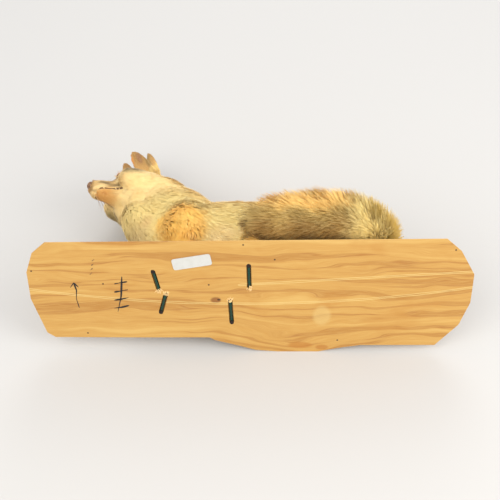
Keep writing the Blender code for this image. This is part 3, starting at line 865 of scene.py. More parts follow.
# %% One skin
bm = bmesh.new()
bm.from_mesh(body.data)
for vertices, faces in shapes:
    made = [bm.verts.new(v) for v in vertices]
    for face in faces:
        bm.faces.new([made[i] for i in face])
bpy.data.objects.remove(body, do_unlink=True)
SKIN_GRAIN, KEPT_SHARE = 0.0017, 0.45
skin = voxel_melt(bm, "skin", SKIN_GRAIN, MELT_ROUNDS)
thinner = skin.modifiers.new("thinner", "DECIMATE")
thinner.ratio = KEPT_SHARE
applied(skin)
print("skin faces", len(skin.data.polygons))

# %% [markdown]
# ## Faded fox colours
# A red fox is rust on the back, cream below, white on the cheeks and throat, and dark on the feet and the
# backs of the ears. Years of light have bleached this one towards straw and ochre. One group works the colour
# out from the upright place, and both the skin and the coat use it, so their markings agree.

# %% Fox markings: the body's gradient from belly to spine
marks, (upright, inner_ear), result = new_group(
    "fox markings", {"Upright": VECTOR, "Inner Ear": VALUE}, {"Colour": COLOUR, "Bare": VALUE}
)
wander = (noise(upright * 0.035, colour=True) - 0.5) * 26.0
loose = upright + wander
x, left, up = split(loose)
neck_rise = calc("MAXIMUM", -84.0 - x, 0.0)
beside_spine = abs(left - neck_rise * 0.18)
over = (up - (neck_rise * 1.2 + 131.0)) * 0.82 - beside_spine * 0.57
coat = blend(between(over, -45.0, 25.0), (252, 230, 152), (255, 222, 134))
coat = blend(between(over, 24.0, 52.0, 0.0, 0.95) * between(x, -150.0, -70.0), coat, (214, 146, 74))
print("gradient nodes", len(marks.nodes))


# %% Fox markings: patches of the body and legs
def within(value, low, high, soft):
    """A mask that is 1 between two levels and fades over a soft distance outside them."""
    return between(value, low - soft, low) * between(value, high + soft, high)


mirrored = join(x, abs(left), up)
shoulder = within(x, -160.0, -100.0, 20.0) * within(up, 48.0, 134.0, 20.0) * between(abs(left), 34.0, 54.0)
coat = patched(coat, loose, 0.8, ((-206, 20, 130), (52, 62, 66), 0.9, (226, 200, 140)))
coat = patched(coat, loose, 0.5, ((-158, 12, 60), (54, 34, 40), 0.8, (226, 200, 140)))
coat = patched(coat, loose, 0.9, ((-190, 54, 156), (18, 22, 20), 0.55, (226, 174, 128)))
coat = blend(shoulder, coat, (255, 206, 92))
for soft, *patch in (
    (0.9, (-122, 82, 118), (26, 30, 22), 0.7, (255, 222, 116)),
    (0.9, (-110, 78, 74), (24, 26, 24), 0.7, (255, 196, 80)),
    (0.7, (-158, 50, 76), (11, 22, 30), 0.5, (250, 200, 112)),
    (0.8, (-97, 74, 66), (12, 18, 24), 0.6, (232, 176, 98)),
    (0.8, (-62, 70, 80), (40, 34, 40), 0.8, (255, 228, 170)),
    (0.6, (-26, 72, 84), (13, 26, 40), 0.9, (255, 232, 176)),
    (0.4, (30, 80, 56), (46, 32, 38), 0.95, (255, 204, 96)),
    (0.6, (92, 70, 62), (70, 40, 40), 0.7, (230, 166, 80)),
):
    coat = patched(coat, mirrored, soft, patch)
coat = patched(coat, loose, 0.6, ((30, 0, 40), (120, 44, 28), 0.9, (244, 216, 166)))
freckles = spot(mirrored, (-54, 68, 82), (38, 30, 24), 0.7) * between(noise(upright * 0.4, 1.0), 0.56, 0.64)
coat = layered(coat, (freckles * 0.6, (156, 106, 56)), (between(up, 60.0, 34.0, 0.0, 0.75), (150, 106, 62)))
print("with body patches", len(marks.nodes))

# %% Fox markings: the tail
CORE_LEFT, CORE_UP = 91.0, 82.0
from_core = calc("LENGTH", join(0.0, left, up) - (0.0, CORE_LEFT, CORE_UP))
beside_flank = between(from_core, 31.0, 25.0) * between(x, -14.0, 6.0)
on_tail = calc("MAXIMUM", between(x, 174.0, 190.0), beside_flank) * between(up, 142.0, 128.0)
outward = (left - CORE_LEFT) * 0.82 + (up - CORE_UP) * 0.57 + between(x, 70.0, 150.0, 0.0, 5.0)
hidden_side = (left - CORE_LEFT) * 0.57 - (up - CORE_UP) * 0.82
tail = layered(
    blend(between(outward, 6.0, 15.0), (158, 124, 56), (255, 212, 118)),
    (between(outward, 5.0, -5.0, 0.0, 0.85), (148, 104, 40)),
    (between(hidden_side, -4.0, -14.0, 0.0, 0.8), (240, 196, 106)),
    (between(noise(upright * (0.022, 0.03, 0.03), 2.0), 0.5, 0.66, 0.0, 0.35), (214, 172, 92)),
    # The curl at the tail's root is cream, painted paler still to lift the shade that falls on it.
    (between(x, 162.0, 196.0, 0.0, 0.97), (255, 234, 156)),
    (between(x, 40.0, 14.0, 0.0, 0.6), (190, 164, 98)),
)
coat = blend(on_tail, coat, tail)
print("with tail", len(marks.nodes))

# %% Fox markings: the face
on_head = use_group(marks, head_group, Upright=upright)["Head"]
small = on_head + wander * 0.2
forward, head_left, head_up = split(small)
both_sides = join(forward, abs(head_left), head_up)
above_crown = between(head_up, 44.0, 54.0)
in_front = calc("MAXIMUM", between(forward, -148.0, -96.0) * between(head_up, -90.0, -38.0), above_crown)
ridge = between(abs(head_left), 13.0, 5.0) * between(head_up, 0.0, 8.0)
rim = within(head_up, -13.0, -10.0, 3.0) * between(forward, -34.0, -20.0)
chin = between(head_up, -15.0, -19.0) * between(forward, -56.0, -24.0)
face = layered(
    blend(between(head_up, 8.0, 28.0), (250, 222, 156), (216, 172, 100)),
    (between(forward, -56.0, -34.0), (226, 190, 126)),
    (ridge * 0.8, (206, 140, 74)),
    (rim * 0.8, (246, 220, 160)),
    (chin * 0.95, (212, 152, 76)),
)
face = patched(
    face, both_sides, 0.7,
    ((-4, 0, 0), (12, 16, 14), 0.8, (150, 104, 62)),
    ((-66, 50, 12), (38, 20, 20), 0.85, (132, 102, 54)),
    ((-24, 14, -3), (16, 10, 6.5), 0.9, (124, 94, 50)),
    ((-46, 19, -6), (22, 10, 6), 0.85, (136, 108, 64)),
    ((-62, 22, 27), (18, 12, 10), 0.95, (196, 116, 50)),
    ((-50, 16, 14), (11, 7, 8), 0.6, (176, 118, 66)),
    ((-22, 10, -25), (8, 7, 5), 0.8, (190, 120, 50)),
    ((-44, 18, -30), (9, 6, 5), 0.6, (216, 158, 92)),
    ((-64, 27, -12), (8, 10, 6), 0.6, (206, 160, 96)),
    ((-92, 18, 46), (26, 16, 16), 0.6, (220, 166, 92)),
)
print("with face", len(marks.nodes))

# %% Fox markings: the ears
outer = blend(between(head_up, 48.0, 96.0), (180, 140, 80), (130, 98, 54))
inner = patched(
    blend(between(head_up, 40.0, 96.0), (234, 184, 108), (176, 128, 70)), both_sides, 0.6,
    ((-116, 26, 90), (9, 7, 22), 0.95, (160, 108, 76)),
    ((-104, 14, 92), (7, 9, 34), 0.9, (224, 146, 66)),
    ((-126, 38, 76), (7, 8, 40), 0.95, (160, 124, 68)),
)
face = blend(above_crown, face, blend(inner_ear, outer, inner))
face = patched(face, small, 0.4, ((-62, -42, -34), (46, 24, 34), 0.95, (150, 126, 74)))
put(result["Colour"], blend(in_front, coat, face))
print("with ears", len(marks.nodes))

# %% Fox markings: dark bare places at the mouth and the lids
forward, head_left, head_up = split(on_head)
wide = between(forward, -38.0, -46.0, 0.6, 1.6)
bare = between(abs(head_up - MOUTH_LEVEL) / wide, 1.7, 0.8) * between(abs(head_left), 25.0, 22.0)
bare = bare * between(forward, -66.0, -60.0) * between(forward, -11.0, -18.0)
socket_rim = spot(join(forward, abs(head_left), head_up), tuple(EYE_PLACE), (10.8, 10.8, 10.8), 0.1)
put(result["Bare"], calc("MAXIMUM", bare, socket_rim * 0.9))
print("markings group", len(marks.nodes))

# %% Skin material
def attribute(tree, name, output):
    node = tree.nodes.new("ShaderNodeAttribute")
    node.attribute_name = name
    return Wire(node.outputs[output])


skin_finish, tree, shader = started("fox skin", 0.85)
upright = upright_here(tree)
markings = use_group(tree, marks, Upright=upright, Inner_Ear=attribute(tree, "inner_ear", "Fac"))
hairs = noise(upright * 1.1)
shade = blend(between(hairs, 0.3, 0.7, 0.3, 0.0), markings["Colour"], (190, 146, 86))
put(shader["Base Color"], blend(markings["Bare"], shade, (96, 66, 42)))
relief(tree, shader, hairs, 0.5, 0.0008)
print("skin finish", len(tree.nodes))

# %% The skin takes the place of the flesh nodes
on_specimen(skin, skin_finish)
skin.data.shade_smooth()
flesh = [name for names in ZONES.values() for name in names] + TAIL_NODES
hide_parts(*flesh)
points = read(skin.data.vertices, "co")
normals = read(skin.data.vertices, "normal")
edges = read(skin.data.edges, "vertices", 2, int)
upright = upright_from_scene(points)
zones = zone_of(points)
head_place = head_from_upright(upright)
is_ear = (zones == "ear") & (head_place[:, 2] > 34)
facing_left, facing_right = (normals @ (np.array(EAR_OPENING[side]) @ HEAD_IN_SCENE) for side in (1, -1))
facing = np.where(head_place[:, 1] > 4, facing_left, facing_right)
inner_ear = evened(is_ear & (facing > 0.1), edges, 2)
layer = skin.data.attributes.new("inner_ear", "FLOAT", "POINT")
layer.data.foreach_set("value", inner_ear.astype(np.float32))
print("skin points", len(points), "ears", int(is_ear.sum()))

# %% [markdown]
# ## Which way the hair lies
# On a real fox the hair grows from the nose back over the head, down the neck, along the flanks towards the
# tail, and down each leg. A few guide lines carry those directions, and each point of the skin takes a mix of
# the guides near it, laid flat on the skin.

# %% Guide lines
GUIDES = {
    "spine": (
        (-180, 4, 268), (-140, 8, 246), (-90, 0, 212), (0, -5, 205), (90, -6, 200), (170, -4, 160),
        (205, 0, 110),
    ),
    "throat": (
        (-240, 28, 196), (-208, 12, 186), (-192, 6, 150), (-172, 2, 96), (-110, 0, 58), (0, -4, 48),
        (130, -5, 42),
    ),
    "collar_left": (
        (-205, 66, 230), (-170, 62, 205), (-140, 72, 170), (-60, 82, 150), (60, 82, 140), (150, 80, 110),
    ),
    "collar_right": (
        (-215, -30, 240), (-180, -52, 215), (-140, -72, 170), (-60, -86, 150), (60, -90, 140),
        (150, -84, 110),
    ),
    "belly_left": ((-150, 50, 110), (-60, 70, 80), (60, 76, 76)),
    "belly_right": ((-150, -52, 110), (-60, -72, 80), (60, -80, 76)),
    "foreleg_left": (
        (-146, 64, 158), (-122, 70, 128), (-100, 64, 90), (-120, 49, 60), (-150, 32, 40), (-200, 24, 28),
    ),
    "foreleg_right": (
        (-142, -64, 158), (-118, -70, 128), (-96, -62, 90), (-112, -48, 60), (-138, -31, 40), (-186, -19, 28),
    ),
    "thigh_left": ((130, 70, 130), (80, 76, 105), (34, 78, 84), (2, 72, 66)),
    "thigh_right": ((130, -74, 130), (80, -80, 105), (34, -82, 84), (0, -72, 66)),
    "hock_left": ((100, 60, 36), (60, 54, 30), (0, 39, 29), (-40, 35, 28)),
    "hock_right": ((92, -60, 36), (56, -54, 30), (-16, -39, 29), (-60, -34, 28)),
    "tail": tuple(station[:3] for station in TAIL),
}
segment_start, segment_way = [], []
for route in GUIDES.values():
    line = smooth_route(route, 4)
    segment_start.append((line[1:] + line[:-1]) / 2)
    segment_way.append(line[1:] - line[:-1])
segment_start = np.concatenate(segment_start)
segment_way = unit(np.concatenate(segment_way))


def lie_of_coat(upright, ear):
    """The direction of the hair at upright places, as upright vectors. ear is 1 where an ear is."""
    total = np.zeros_like(upright)
    for start, way in zip(segment_start, segment_way):
        away = np.linalg.norm(upright - start, axis=1)
        total += way * (1.0 / (away + 6.0) ** 5)[:, None]
    total = unit(total)
    on_head = head_from_upright(upright)
    from_nose = on_head - np.array([14.0, 0.0, -2.0])
    back = unit(from_nose * (1.0, 0.7, 0.7)) @ HEAD_AXES
    share = np.clip((on_head[:, 0] + 135) / 40, 0, 1) * np.clip((on_head[:, 2] + 75) / 30, 0, 1)
    blended = unit(total * (1 - share)[:, None] + back * share[:, None])
    up_ear = np.array([0.12, 0.0, 1.0]) @ HEAD_AXES
    return unit(blended * (1 - ear)[:, None] + up_ear * ear[:, None])


ear_share = evened(is_ear, edges, 3)
flow = lie_of_coat(upright, ear_share) @ TURN
FLOW_ROUNDS = 260
even_flow = evened(flow, edges, FLOW_ROUNDS)
grown = np.clip((np.linalg.norm(head_place, axis=1) - 70) / 40, 0, 1)[:, None] * (1 - ear_share[:, None])
flow = unit(flow * (1 - grown) + even_flow * grown)
print("guides", len(GUIDES), "segments", len(segment_start))

# %% How deep the coat is at each point of the skin
tail_line = smooth_route(TAIL[1:], 4)[:, :3]
tail_away = np.min([np.linalg.norm(upright - place, axis=1) for place in tail_line], axis=0)
TAIL_REACH, TAIL_COAT, EAR_COAT, DEPTH_ROUNDS = 31, 27.0, 1.2, 50
is_tail = tail_away < TAIL_REACH
depth = coat_depth(upright, zones)
depth[is_tail] = TAIL_COAT
depth[is_ear] = EAR_COAT
depth = evened(depth, edges, DEPTH_ROUNDS)
depth[is_ear] = EAR_COAT
depth *= 1 - 0.6 * at_lips(upright)
print("tail points", int(is_tail.sum()), "mean depth", round(depth.mean(), 1))

# %% [markdown]
# ## A flat map of the skin for the coat
# When the model is exported, each tuft needs a small place of its own on a flat map, next to its neighbours
# on the body. A light copy of the skin is unwrapped, and each tuft later takes the map place of its root.

# %% Unwrap a light copy of the skin
PATTERN_SHARE = 0.045
pattern = placed("pattern", skin.data.copy())
lighter = pattern.modifiers.new("lighter", "DECIMATE")
lighter.ratio = PATTERN_SHARE
applied(pattern)
bpy.context.view_layer.objects.active = pattern
pattern.select_set(True)
bpy.ops.object.mode_set(mode="EDIT")
bpy.ops.mesh.select_all(action="SELECT")
bpy.ops.uv.smart_project(angle_limit=math.radians(70), island_margin=0.002)
bpy.ops.object.mode_set(mode="OBJECT")
pattern.data.calc_loop_triangles()
pattern_points = read(pattern.data.vertices, "co")
pattern_faces = np.array([t.vertices[:] for t in pattern.data.loop_triangles])
pattern_loops = np.array([t.loops[:] for t in pattern.data.loop_triangles])
pattern_map = np.array([corner.uv[:] for corner in pattern.data.uv_layers.active.data])
pattern_search = BVHTree.FromPolygons(pattern_points.tolist(), pattern_faces.tolist())
bpy.data.objects.remove(pattern, do_unlink=True)


def map_place(places):
    """The flat map's place of each scene point, from its shares of the three corners round it."""
    found = [pattern_search.find_nearest(place) for place in places]
    near = np.array([hit[0][:] for hit in found])
    face = np.array([hit[2] for hit in found])
    a, b, c = (pattern_points[pattern_faces[face, k]] for k in range(3))
    whole = np.cross(b - a, c - a)
    size = np.maximum(np.sum(whole * whole, axis=1), 1e-18)
    share_b = np.sum(np.cross(near - a, c - a) * whole, axis=1) / size
    share_c = np.sum(np.cross(b - a, near - a) * whole, axis=1) / size
    shares = np.stack([1 - share_b - share_c, share_b, share_c], axis=1)
    return np.einsum("nk,nkd->nd", shares, pattern_map[pattern_loops[face]])


print("pattern faces", len(pattern_faces))

# %% [markdown]
# ## A lock of hair
# One lock is a thin pointed ribbon: five triangles where the coat is long, three where it is short. It leaves
# the skin at a slant, bends over and lies along the coat. Slow waves of chance turn neighbouring locks the
# same way, which gives the coat its soft partings, and a little more chance keeps any two from being alike.

# %% Slow waves of chance
rng = np.random.default_rng(11)


def waves(points, length, seed, count=7):
    """A smooth wandering value, about -1 to 1, that changes over a length in millimetres."""
    chance = np.random.default_rng(seed)
    ways = unit(chance.normal(size=(count, 3)))
    ways *= 2 * math.pi / length * chance.uniform(0.6, 1.4, (count, 1))
    turns = chance.uniform(0, 2 * math.pi, count)
    return np.sin(points @ ways.T + turns).sum(axis=1) / math.sqrt(count / 2) * 0.7


print("wave sample", waves(np.zeros((1, 3)), 20.0, 1).round(3))

# %% How many locks grow on each bit of skin
DEPTHS = (1.0, 1.8, 3.0, 6.0, 13.0, 20.0, 27.0)
LENGTH = (3.2, 4.6, 7.5, 14.0, 26.0, 36.0, 44.0)
WIDTH = (0.46, 0.54, 0.66, 0.84, 0.96, 0.98, 1.0)
DENSITY = (2.6, 2.0, 1.6, 1.0, 0.66, 0.80, 1.15)
LONG_COAT = 5.0
LONG_TRIANGLES, SHORT_TRIANGLES = 5, 3
MOST_TRIANGLES = 1440000
BARE_ROUND_EYE = 2.0
UNSEEN_SHARE = 0.15
print("lock sizes", dict(zip(DEPTHS, zip(LENGTH, WIDTH))))

# %% Count the locks face by face
skin.data.calc_loop_triangles()
triangles = read(skin.data.loop_triangles, "vertices", 3, int)
corner_a, corner_b, corner_c = (points[triangles[:, k]] for k in range(3))
area = 0.5e6 * np.linalg.norm(np.cross(corner_b - corner_a, corner_c - corner_a), axis=1)
face_depth = depth[triangles].mean(axis=1)
wanted = area * np.interp(face_depth, DEPTHS, DENSITY)
hidden = (upright[:, 2] < 22.5) | (points[:, 2] < 0.0015)
wanted *= np.where(hidden[triangles].all(axis=1), UNSEEN_SHARE, 1.0)
forward, head_left, head_up = head_place.T
along_mouth = (forward > -60) & (forward < -8) & (np.abs(head_left) < 22) & (zones == "head")
bare_mouth = along_mouth & (np.abs(head_up - MOUTH_LEVEL) < np.where(forward < -42, 1.7, 0.8))
mirrored = np.stack([forward, np.abs(head_left), head_up], axis=1)
near_eye = np.linalg.norm(mirrored - EYE_PLACE, axis=1) < EYE_RADIUS + BARE_ROUND_EYE
wanted *= np.where((bare_mouth | near_eye)[triangles].any(axis=1), 0.0, 1.0)
cost = np.where(face_depth > LONG_COAT, LONG_TRIANGLES, SHORT_TRIANGLES)
share = min(1.0, MOST_TRIANGLES / (wanted * cost).sum())
count = int(wanted.sum() * share)
print("area", round(area.sum()), "wanted", int(wanted.sum()), "share", round(share, 2), "locks", count)

# %% Grow the roots
chosen = rng.choice(len(wanted), count, p=wanted / wanted.sum())
mix = rng.dirichlet((1, 1, 1), count)


def at_roots(values):
    return np.einsum("nk,nk...->n...", mix, values[triangles[chosen]])


roots = at_roots(points)
root_upright = upright_from_scene(roots)
root_normal = unit(at_roots(normals))
root_depth = at_roots(depth)
is_long = root_depth > LONG_COAT
way = at_roots(flow)
way = unit(way - root_normal * np.sum(way * root_normal, axis=1, keepdims=True))
aside = np.cross(root_normal, way)
swirl = 0.16 * waves(root_upright, 44.0, 3) + 0.06 * waves(root_upright, 18.0, 4) + rng.normal(0, 0.13, count)
way = unit(way + aside * swirl[:, None])
aside = np.cross(root_normal, way)
root_tail = at_roots(is_tail.astype(float)) > 0.5
root_ear = at_roots(is_ear.astype(float)) > 0.5
root_inner = at_roots(inner_ear)
print("long", int(is_long.sum()), "tail", int(root_tail.sum()), "ears", int(root_ear.sum()))

# %% Bend each lock
length = np.interp(root_depth, DEPTHS, LENGTH) * rng.uniform(0.7, 1.15, count)
width = np.interp(root_depth, DEPTHS, WIDTH) * rng.uniform(0.7, 1.3, count)
spread = np.where(root_tail, 0.21, 0.10)
rolling = np.where(root_tail, 0.09, 0.05) * waves(root_upright, 26.0, 5)
tuft = 0.95 + rolling + spread * rng.normal(0, 1, count)
height = root_depth * np.clip(tuft, 0.35, np.where(root_tail, 1.28, 1.15))
length = np.where(root_tail, 0.72 * length, length)
stand_of = np.where(root_tail, 1.15, 2.6)
clump = np.stack([waves(root_upright, 12.0, seed) for seed in (6, 7)], axis=1)
clump *= np.where(root_tail, 3.0, np.minimum(1.2, 0.1 * root_depth))[:, None]
STATIONS = {
    True: ((0.0, 0.6), (0.34, 1.0), (0.74, 0.8), (1.0, 0.0)),
    False: ((0.0, 0.7), (0.5, 1.0), (1.0, 0.0)),
}


def station(rows, t):
    """The middle of each lock at a share t of its length."""
    lift = height[rows] * (1 - (1 - t) ** stand_of[rows])
    run = length[rows] * t ** 1.1
    sway = clump[rows] * t ** 1.6
    out = lift + 0.4 * sway[:, 1] - 0.35 * (t == 0)
    return roots[rows] + 0.001 * (
        way[rows] * run[:, None] + root_normal[rows] * out[:, None] + aside[rows] * sway[:, :1]
    )


print("mean length", round(length.mean(), 1), "mm")

# %% The corners of each lock, clear of the floor and the board
FLOOR_GAP, BOARD_TOP = 0.0003, 20.3


def clear_of_mount(places):
    """Lifts what would pass through the floor or lie inside the board."""
    places[:, 2] = np.maximum(places[:, 2], FLOOR_GAP)
    lifted = upright_from_scene(places)
    over_board = (np.abs(lifted[:, 0]) < 350) & (lifted[:, 1] < 90) & (lifted[:, 1] > -108)
    lifted[:, 2] = np.where(over_board, np.maximum(lifted[:, 2], BOARD_TOP), lifted[:, 2])
    places = scene_from_upright(lifted)
    places[:, 2] = np.maximum(places[:, 2], FLOOR_GAP)
    return places


def ribbons(rows, long):
    """Corner points and normals of the locks in rows: pairs along the ribbon, and one tip."""
    middles = np.stack([station(rows, t) for t, _ in STATIONS[long]], axis=1)
    along = unit(middles[:, -1] - middles[:, 1])
    across = unit(np.cross(root_normal[rows], along))
    out = np.cross(along, across)
    roll = roll_of[rows][:, None]
    flat = across * np.cos(roll) + out * np.sin(roll)
    corner_places, corner_normals = [], []
    for k, (_, share) in enumerate(STATIONS[long]):
        half = (0.0005 * width[rows] * share)[:, None] * flat
        for sign in ((-1, 1) if share else (0,)):
            corner_places.append(middles[:, k] + sign * half)
            corner_normals.append(unit(root_normal[rows] + 0.2 * out + 0.2 * sign * across + jitter[rows]))
    places = np.stack(corner_places, axis=1)
    shape = places.shape
    return clear_of_mount(places.reshape(-1, 3)).reshape(shape), np.stack(corner_normals, axis=1)


roll_of = rng.normal(0, 0.2, count)
jitter = rng.normal(0, 0.05, (count, 3))
chances = rng.random(count)
print("chances drawn for", len(chances))

# %% Coat finish
coat_finish, tree, shader = started("fox coat", 0.65)
lengthwise, chance, inner = split(attribute(tree, "strand", "Vector"))
markings = use_group(tree, marks, Upright=attribute(tree, "root_place", "Vector"), Inner_Ear=inner)
put(shader["Base Color"], layered(
    markings["Colour"],
    # Paler towards the root: pale underfur, and painted light that lifts the shade between the locks.
    (between(lengthwise, 0.0, 0.6, 0.22, 0.0), (255, 226, 160)),
    (between(lengthwise, 0.5, 1.0, 0.0, 0.2), (255, 230, 160)),
    (between(chance, 0.0, 0.3, 0.10, 0.0), (170, 116, 54)),
    (between(chance, 0.65, 1.0, 0.0, 0.24), (255, 232, 164)),
))
shader["Specular IOR Level"].default_value = 0.2
shader["Sheen Weight"].default_value = 0.2
shader["Sheen Roughness"].default_value = 0.5
print("coat finish", len(tree.nodes))

# %% [markdown]
# ## The coat in pieces
# The locks are sorted by where they grow, so that each piece of coat stays light enough to handle: face and
# crown, ears, neck, back, flanks, legs and tail.

# %% Sort the locks
root_zone = zones[triangles[chosen, 0]]
x_root = root_upright[:, 0]
on_crown = head_from_upright(root_upright)[:, 0] < -62
kind = np.select(
    [root_tail & (x_root > 150), root_tail & (x_root > 85), root_tail, root_ear | (root_zone == "ear"),
     (root_zone == "head") & on_crown, root_zone == "head", root_zone == "neck", root_zone == "foreleg",
     root_zone == "hindleg", x_root < -60, x_root < 70],
    ["tail_root", "tail_middle", "tail_tip", "ears", "crown", "face", "neck", "forelegs", "hindlegs",
     "chest", "flank"],
    "rump",
)
for name in np.unique(kind):
    print(name, int((kind == name).sum()))

# %% The numbers of one piece of coat
LOCK_FACES = {
    True: np.array([(0, 2, 3), (0, 3, 1), (2, 4, 5), (2, 5, 3), (4, 6, 5)]),
    False: np.array([(0, 2, 3), (0, 3, 1), (2, 4, 3)]),
}
PATCH = 0.003


def lock_rows(rows):
    """Corners, normals, faces, strand values, map places and roots of the locks in rows, long ones first."""
    places, normals, faces, strand, spots, owners = [], [], [], [], [], []
    start = 0
    for long in (True, False):
        some = rows[is_long[rows] == long]
        if not len(some):
            continue
        lock_places, lock_normals = ribbons(some, long)
        n, corners = lock_places.shape[:2]
        levels = np.repeat([t for t, _ in STATIONS[long]], [2] * (len(STATIONS[long]) - 1) + [1])
        sides = np.array([-0.5, 0.5] * (len(STATIONS[long]) - 1) + [0.0])
        places.append(lock_places.reshape(-1, 3))
        normals.append(lock_normals.reshape(-1, 3))
        faces.append((LOCK_FACES[long][None] + corners * np.arange(n)[:, None, None] + start).reshape(-1))
        values = np.broadcast_arrays(levels, chances[some][:, None], root_inner[some][:, None])
        strand.append(np.stack(values, axis=2).reshape(-1, 3))
        within_patch = np.stack([sides, levels - 0.5], axis=1) * PATCH
        spots.append((map_place(roots[some])[:, None] + within_patch).reshape(-1, 2))
        owners.append(np.repeat(root_upright[some], corners, axis=0))
        start += n * corners
    return [np.concatenate(kept) for kept in (places, normals, faces, strand, spots, owners)]


print("lock faces", {long: len(faces) for long, faces in LOCK_FACES.items()})

# %% Build each piece of coat
def coat_piece(name, rows):
    """One mesh of locks with their roots' places, chances and flat map."""
    places, normals, faces, strand, spots, owners = lock_rows(rows)
    faces = faces.astype(np.int32)
    mesh = bpy.data.meshes.new(name)
    mesh.vertices.add(len(places))
    mesh.vertices.foreach_set("co", places.astype(np.float32).ravel())
    mesh.loops.add(len(faces))
    mesh.loops.foreach_set("vertex_index", faces)
    mesh.polygons.add(len(faces) // 3)
    mesh.polygons.foreach_set("loop_start", np.arange(0, len(faces), 3, dtype=np.int32))
    mesh.update(calc_edges=True)
    mesh.shade_smooth()
    for title, values in (("root_place", owners), ("strand", strand)):
        layer = mesh.attributes.new(title, "FLOAT_VECTOR", "POINT")
        layer.data.foreach_set("vector", values.astype(np.float32).ravel())
    layer = mesh.uv_layers.new(name="OFBake")
    layer.uv.foreach_set("vector", spots[faces].astype(np.float32).ravel())
    mesh.normals_split_custom_set_from_vertices(normals.astype(np.float32))
    on_specimen(placed(name, mesh), coat_finish)
    return len(faces) // 3


MOST_IN_PIECE = 190000
total = 0
for name in np.unique(kind):
    rows = np.flatnonzero(kind == name)
    rows = rows[np.argsort(x_root[rows], kind="stable")]
    heft = int(np.where(is_long[rows], LONG_TRIANGLES, SHORT_TRIANGLES).sum())
    pieces = math.ceil(heft / MOST_IN_PIECE)
    for number, part in enumerate(np.array_split(rows, pieces)):
        total += coat_piece(f"coat_{name}_{number + 1}" if pieces > 1 else f"coat_{name}", part)
print("coat triangles", total)

# %% [markdown]
# ## Eyes, nose, teeth, claws and whiskers
# These stay separate from the skin, because they are glass, leather and horn. The eye is a ball with a raised
# clear front over an amber iris and an upright slit.

# %% Eyes
eye_group, (upright, middle, outlook, upwards), result = new_group(
    "iris", {"Upright": VECTOR, "Middle": VECTOR, "Outlook": VECTOR, "Rise": VECTOR}, {"Colour": COLOUR}
)
ray = calc("NORMALIZE", upright - middle)
ahead = calc("DOT_PRODUCT", ray, outlook)
rise = calc("DOT_PRODUCT", ray, upwards)
sideways = calc("SQRT", calc("MAXIMUM", 1.0 - (ahead * ahead + rise * rise), 0.0))
iris = blend(between(noise(ray * 9.0, 2.0), 0.35, 0.65), (120, 66, 20), (196, 124, 44))
iris = blend(between(ahead, 0.80, 0.72), iris, (34, 20, 12))
slit_wide = between(abs(rise), 0.48, 0.0) * 0.13
pupil = between(sideways - slit_wide, 0.02, -0.02) * between(ahead, 0.0, 0.3)
put(result["Colour"], blend(pupil, iris, (8, 6, 5)))
for side, name in ((1, "eye_left"), (-1, "eye_right")):
    middle = EYE_PLACE * (1, side, 1)
    look_out = LOOK_OUT[side]
    above = unit(np.array([0.0, 0.0, 1.0]) - look_out * look_out[2])
    ball_vertices, ball_faces = blob(np.zeros(3), (EYE_RADIUS,) * 3, rings=28, sides=40)
    directions = ball_vertices / EYE_RADIUS
    front = np.clip((directions @ look_out - 0.72) / 0.28, 0, 1)
    ball_vertices = ball_vertices * (1 + 0.07 * front * (2 - front))[:, None]
    thing = piece_from(f"{name}_glass", scene_from_head(middle + ball_vertices), ball_faces)
    glass, tree, shader = started(f"{name} glass", 0.06)
    iris = use_group(
        tree, eye_group, Upright=upright_here(tree), Middle=tuple(upright_from_head(middle)),
        Outlook=tuple(look_out @ HEAD_AXES), Rise=tuple(above @ HEAD_AXES),
    )
    put(shader["Base Color"], iris["Colour"])
    shader["Coat Weight"].default_value = 1.0
    shader["Coat Roughness"].default_value = 0.03
    on_specimen(thing, glass)
    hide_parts(name)
print("eyes made")

# %% Nose
nose_vertices, nose_faces = blob(np.zeros(3), (1.0, 1.0, 1.0), rings=30, sides=44)
shape = nose_vertices.copy()
pad = shape * (6.0, 8.2, 6.4) + (-5.5, 0, 2.6)
for side in (1, -1):
    away = np.linalg.norm((pad - (-0.6, side * 4.2, 2.0)) / (3.4, 1.9, 1.5), axis=1)
    pad -= shape * (2.6 * np.exp(-away ** 4))[:, None]
    away = np.linalg.norm((pad - (-4.2, side * 8.0, 0.6)) / (3.2, 1.6, 1.2), axis=1)
    pad -= shape * (1.6 * np.exp(-away ** 4))[:, None]
pad -= shape * (0.8 * np.exp(-(pad[:, 1] / 0.7) ** 2) * (pad[:, 0] > -5))[:, None]
nose = piece_from("nose_pad", scene_from_head(pad), nose_faces)
nose_finish, tree, shader = started("dried nose")
upright = upright_here(tree)
put(shader["Base Color"], blend(between(noise(upright * 0.25), 0.4, 0.65), (116, 82, 56), (150, 112, 78)))
cells = tree.nodes.new("ShaderNodeTexVoronoi")
cells.inputs["Scale"].default_value = 1.0
put(cells.inputs["Vector"], upright * 1.3)
relief(tree, shader, Wire(cells.outputs["Distance"]), 0.4, 0.0004)
on_specimen(nose, nose_finish)
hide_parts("nose")
print("nose made")

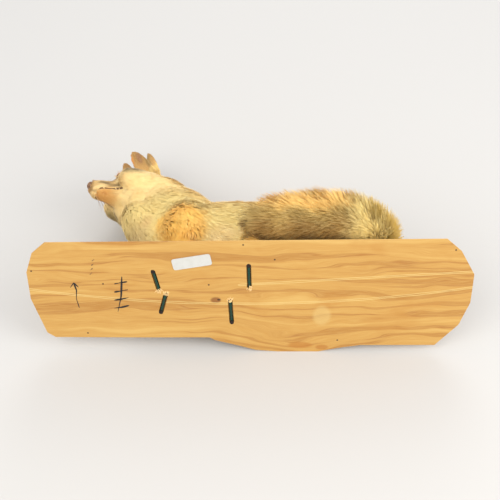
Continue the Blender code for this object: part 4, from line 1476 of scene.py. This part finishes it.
# %% Teeth and claws
def horn(base, tip, bend, radius, sides=10, steps=7):
    """A curved cone from base to tip, in scene metres."""
    base, tip, bend = (np.array(v, float) for v in (base, tip, bend))
    way = tip - base
    one = unit(np.cross(way, (0.3, 0.2, 1.0)))
    two = unit(np.cross(way, one))
    turns = np.linspace(0, 2 * math.pi, sides, endpoint=False)
    outward = [math.cos(turn) * one + math.sin(turn) * two for turn in turns]
    vertices = []
    for i in range(steps):
        t = i / steps
        middle = base + way * t + bend * math.sin(math.pi * t)
        r = radius * (1 - t ** 1.6)
        vertices += [middle + r * out for out in outward]
    vertices += [tip, base]
    faces = sleeve(steps, sides)
    last, end = (steps - 1) * sides, steps * sides
    faces += [(last + k, last + (k + 1) % sides, end) for k in range(sides)]
    faces += [((k + 1) % sides, k, end + 1) for k in range(sides)]
    return vertices, faces


GUM_LEVEL = -13.0
enamel = plain_material("tooth enamel", (226, 196, 138), 0.28)
teeth = []
for side in (1, -1):
    for forward, out, tall, radius in (
        (-14.0, 8.6, 3.4, 1.3), (-22.5, 14.2, 6.4, 1.7), (-32.0, 14.2, 3.2, 1.5), (-45.5, 16.6, 4.4, 2.2),
        (-52.0, 18.2, 4.6, 2.4), (-57.0, 19.6, 3.4, 2.0),
    ):
        base = scene_from_head((forward, side * out, GUM_LEVEL))
        tip = scene_from_head((forward - 0.8, side * (out + 0.4), GUM_LEVEL - tall))
        teeth.append(horn(base, tip, np.zeros(3), radius * 0.001))
gathered("teeth", teeth, enamel)
claw_horn = plain_material("claw horn", (70, 52, 38), 0.35)
claw_bend = 0.001 * (np.array([0, 0, 1.4]) @ TURN)
claws = []
for middle, (along, side, _), spread in TOES:
    start = middle + along * 6.5 + (0, 0, -0.5)
    end = middle + along * 14.5 + side * spread * 0.06 + (0, 0, -5.5)
    claws.append(horn(scene_from_upright(start), scene_from_upright(end), claw_bend, 0.0016))
gathered("claws", claws, claw_horn)
print("teeth", len(teeth), "claws", len(claws))

# %% Whiskers
whisker_hair = plain_material("whisker", (150, 118, 78), 0.45)
bend = 0.001 * (np.array([-4.0, 0, -3.0]) @ HEAD_IN_SCENE)
whiskers = []
for side in (1, -1):
    for k in range(9):
        row, column = divmod(k, 3)
        start = np.array([-19.0 - 5.0 * column, side * (12.5 + 1.2 * column), -2.0 - 3.6 * row])
        way = unit(np.array([-0.55 - 0.15 * column, side * (1.0 - 0.1 * row), -0.12 - 0.22 * row]))
        reach = 34 + 9 * rng.random()
        end = start + way * reach
        whiskers.append(horn(scene_from_head(start), scene_from_head(end), bend, 0.0002, 5, 8))
gathered("whiskers", whiskers, whisker_hair)
print("whiskers", len(whiskers))
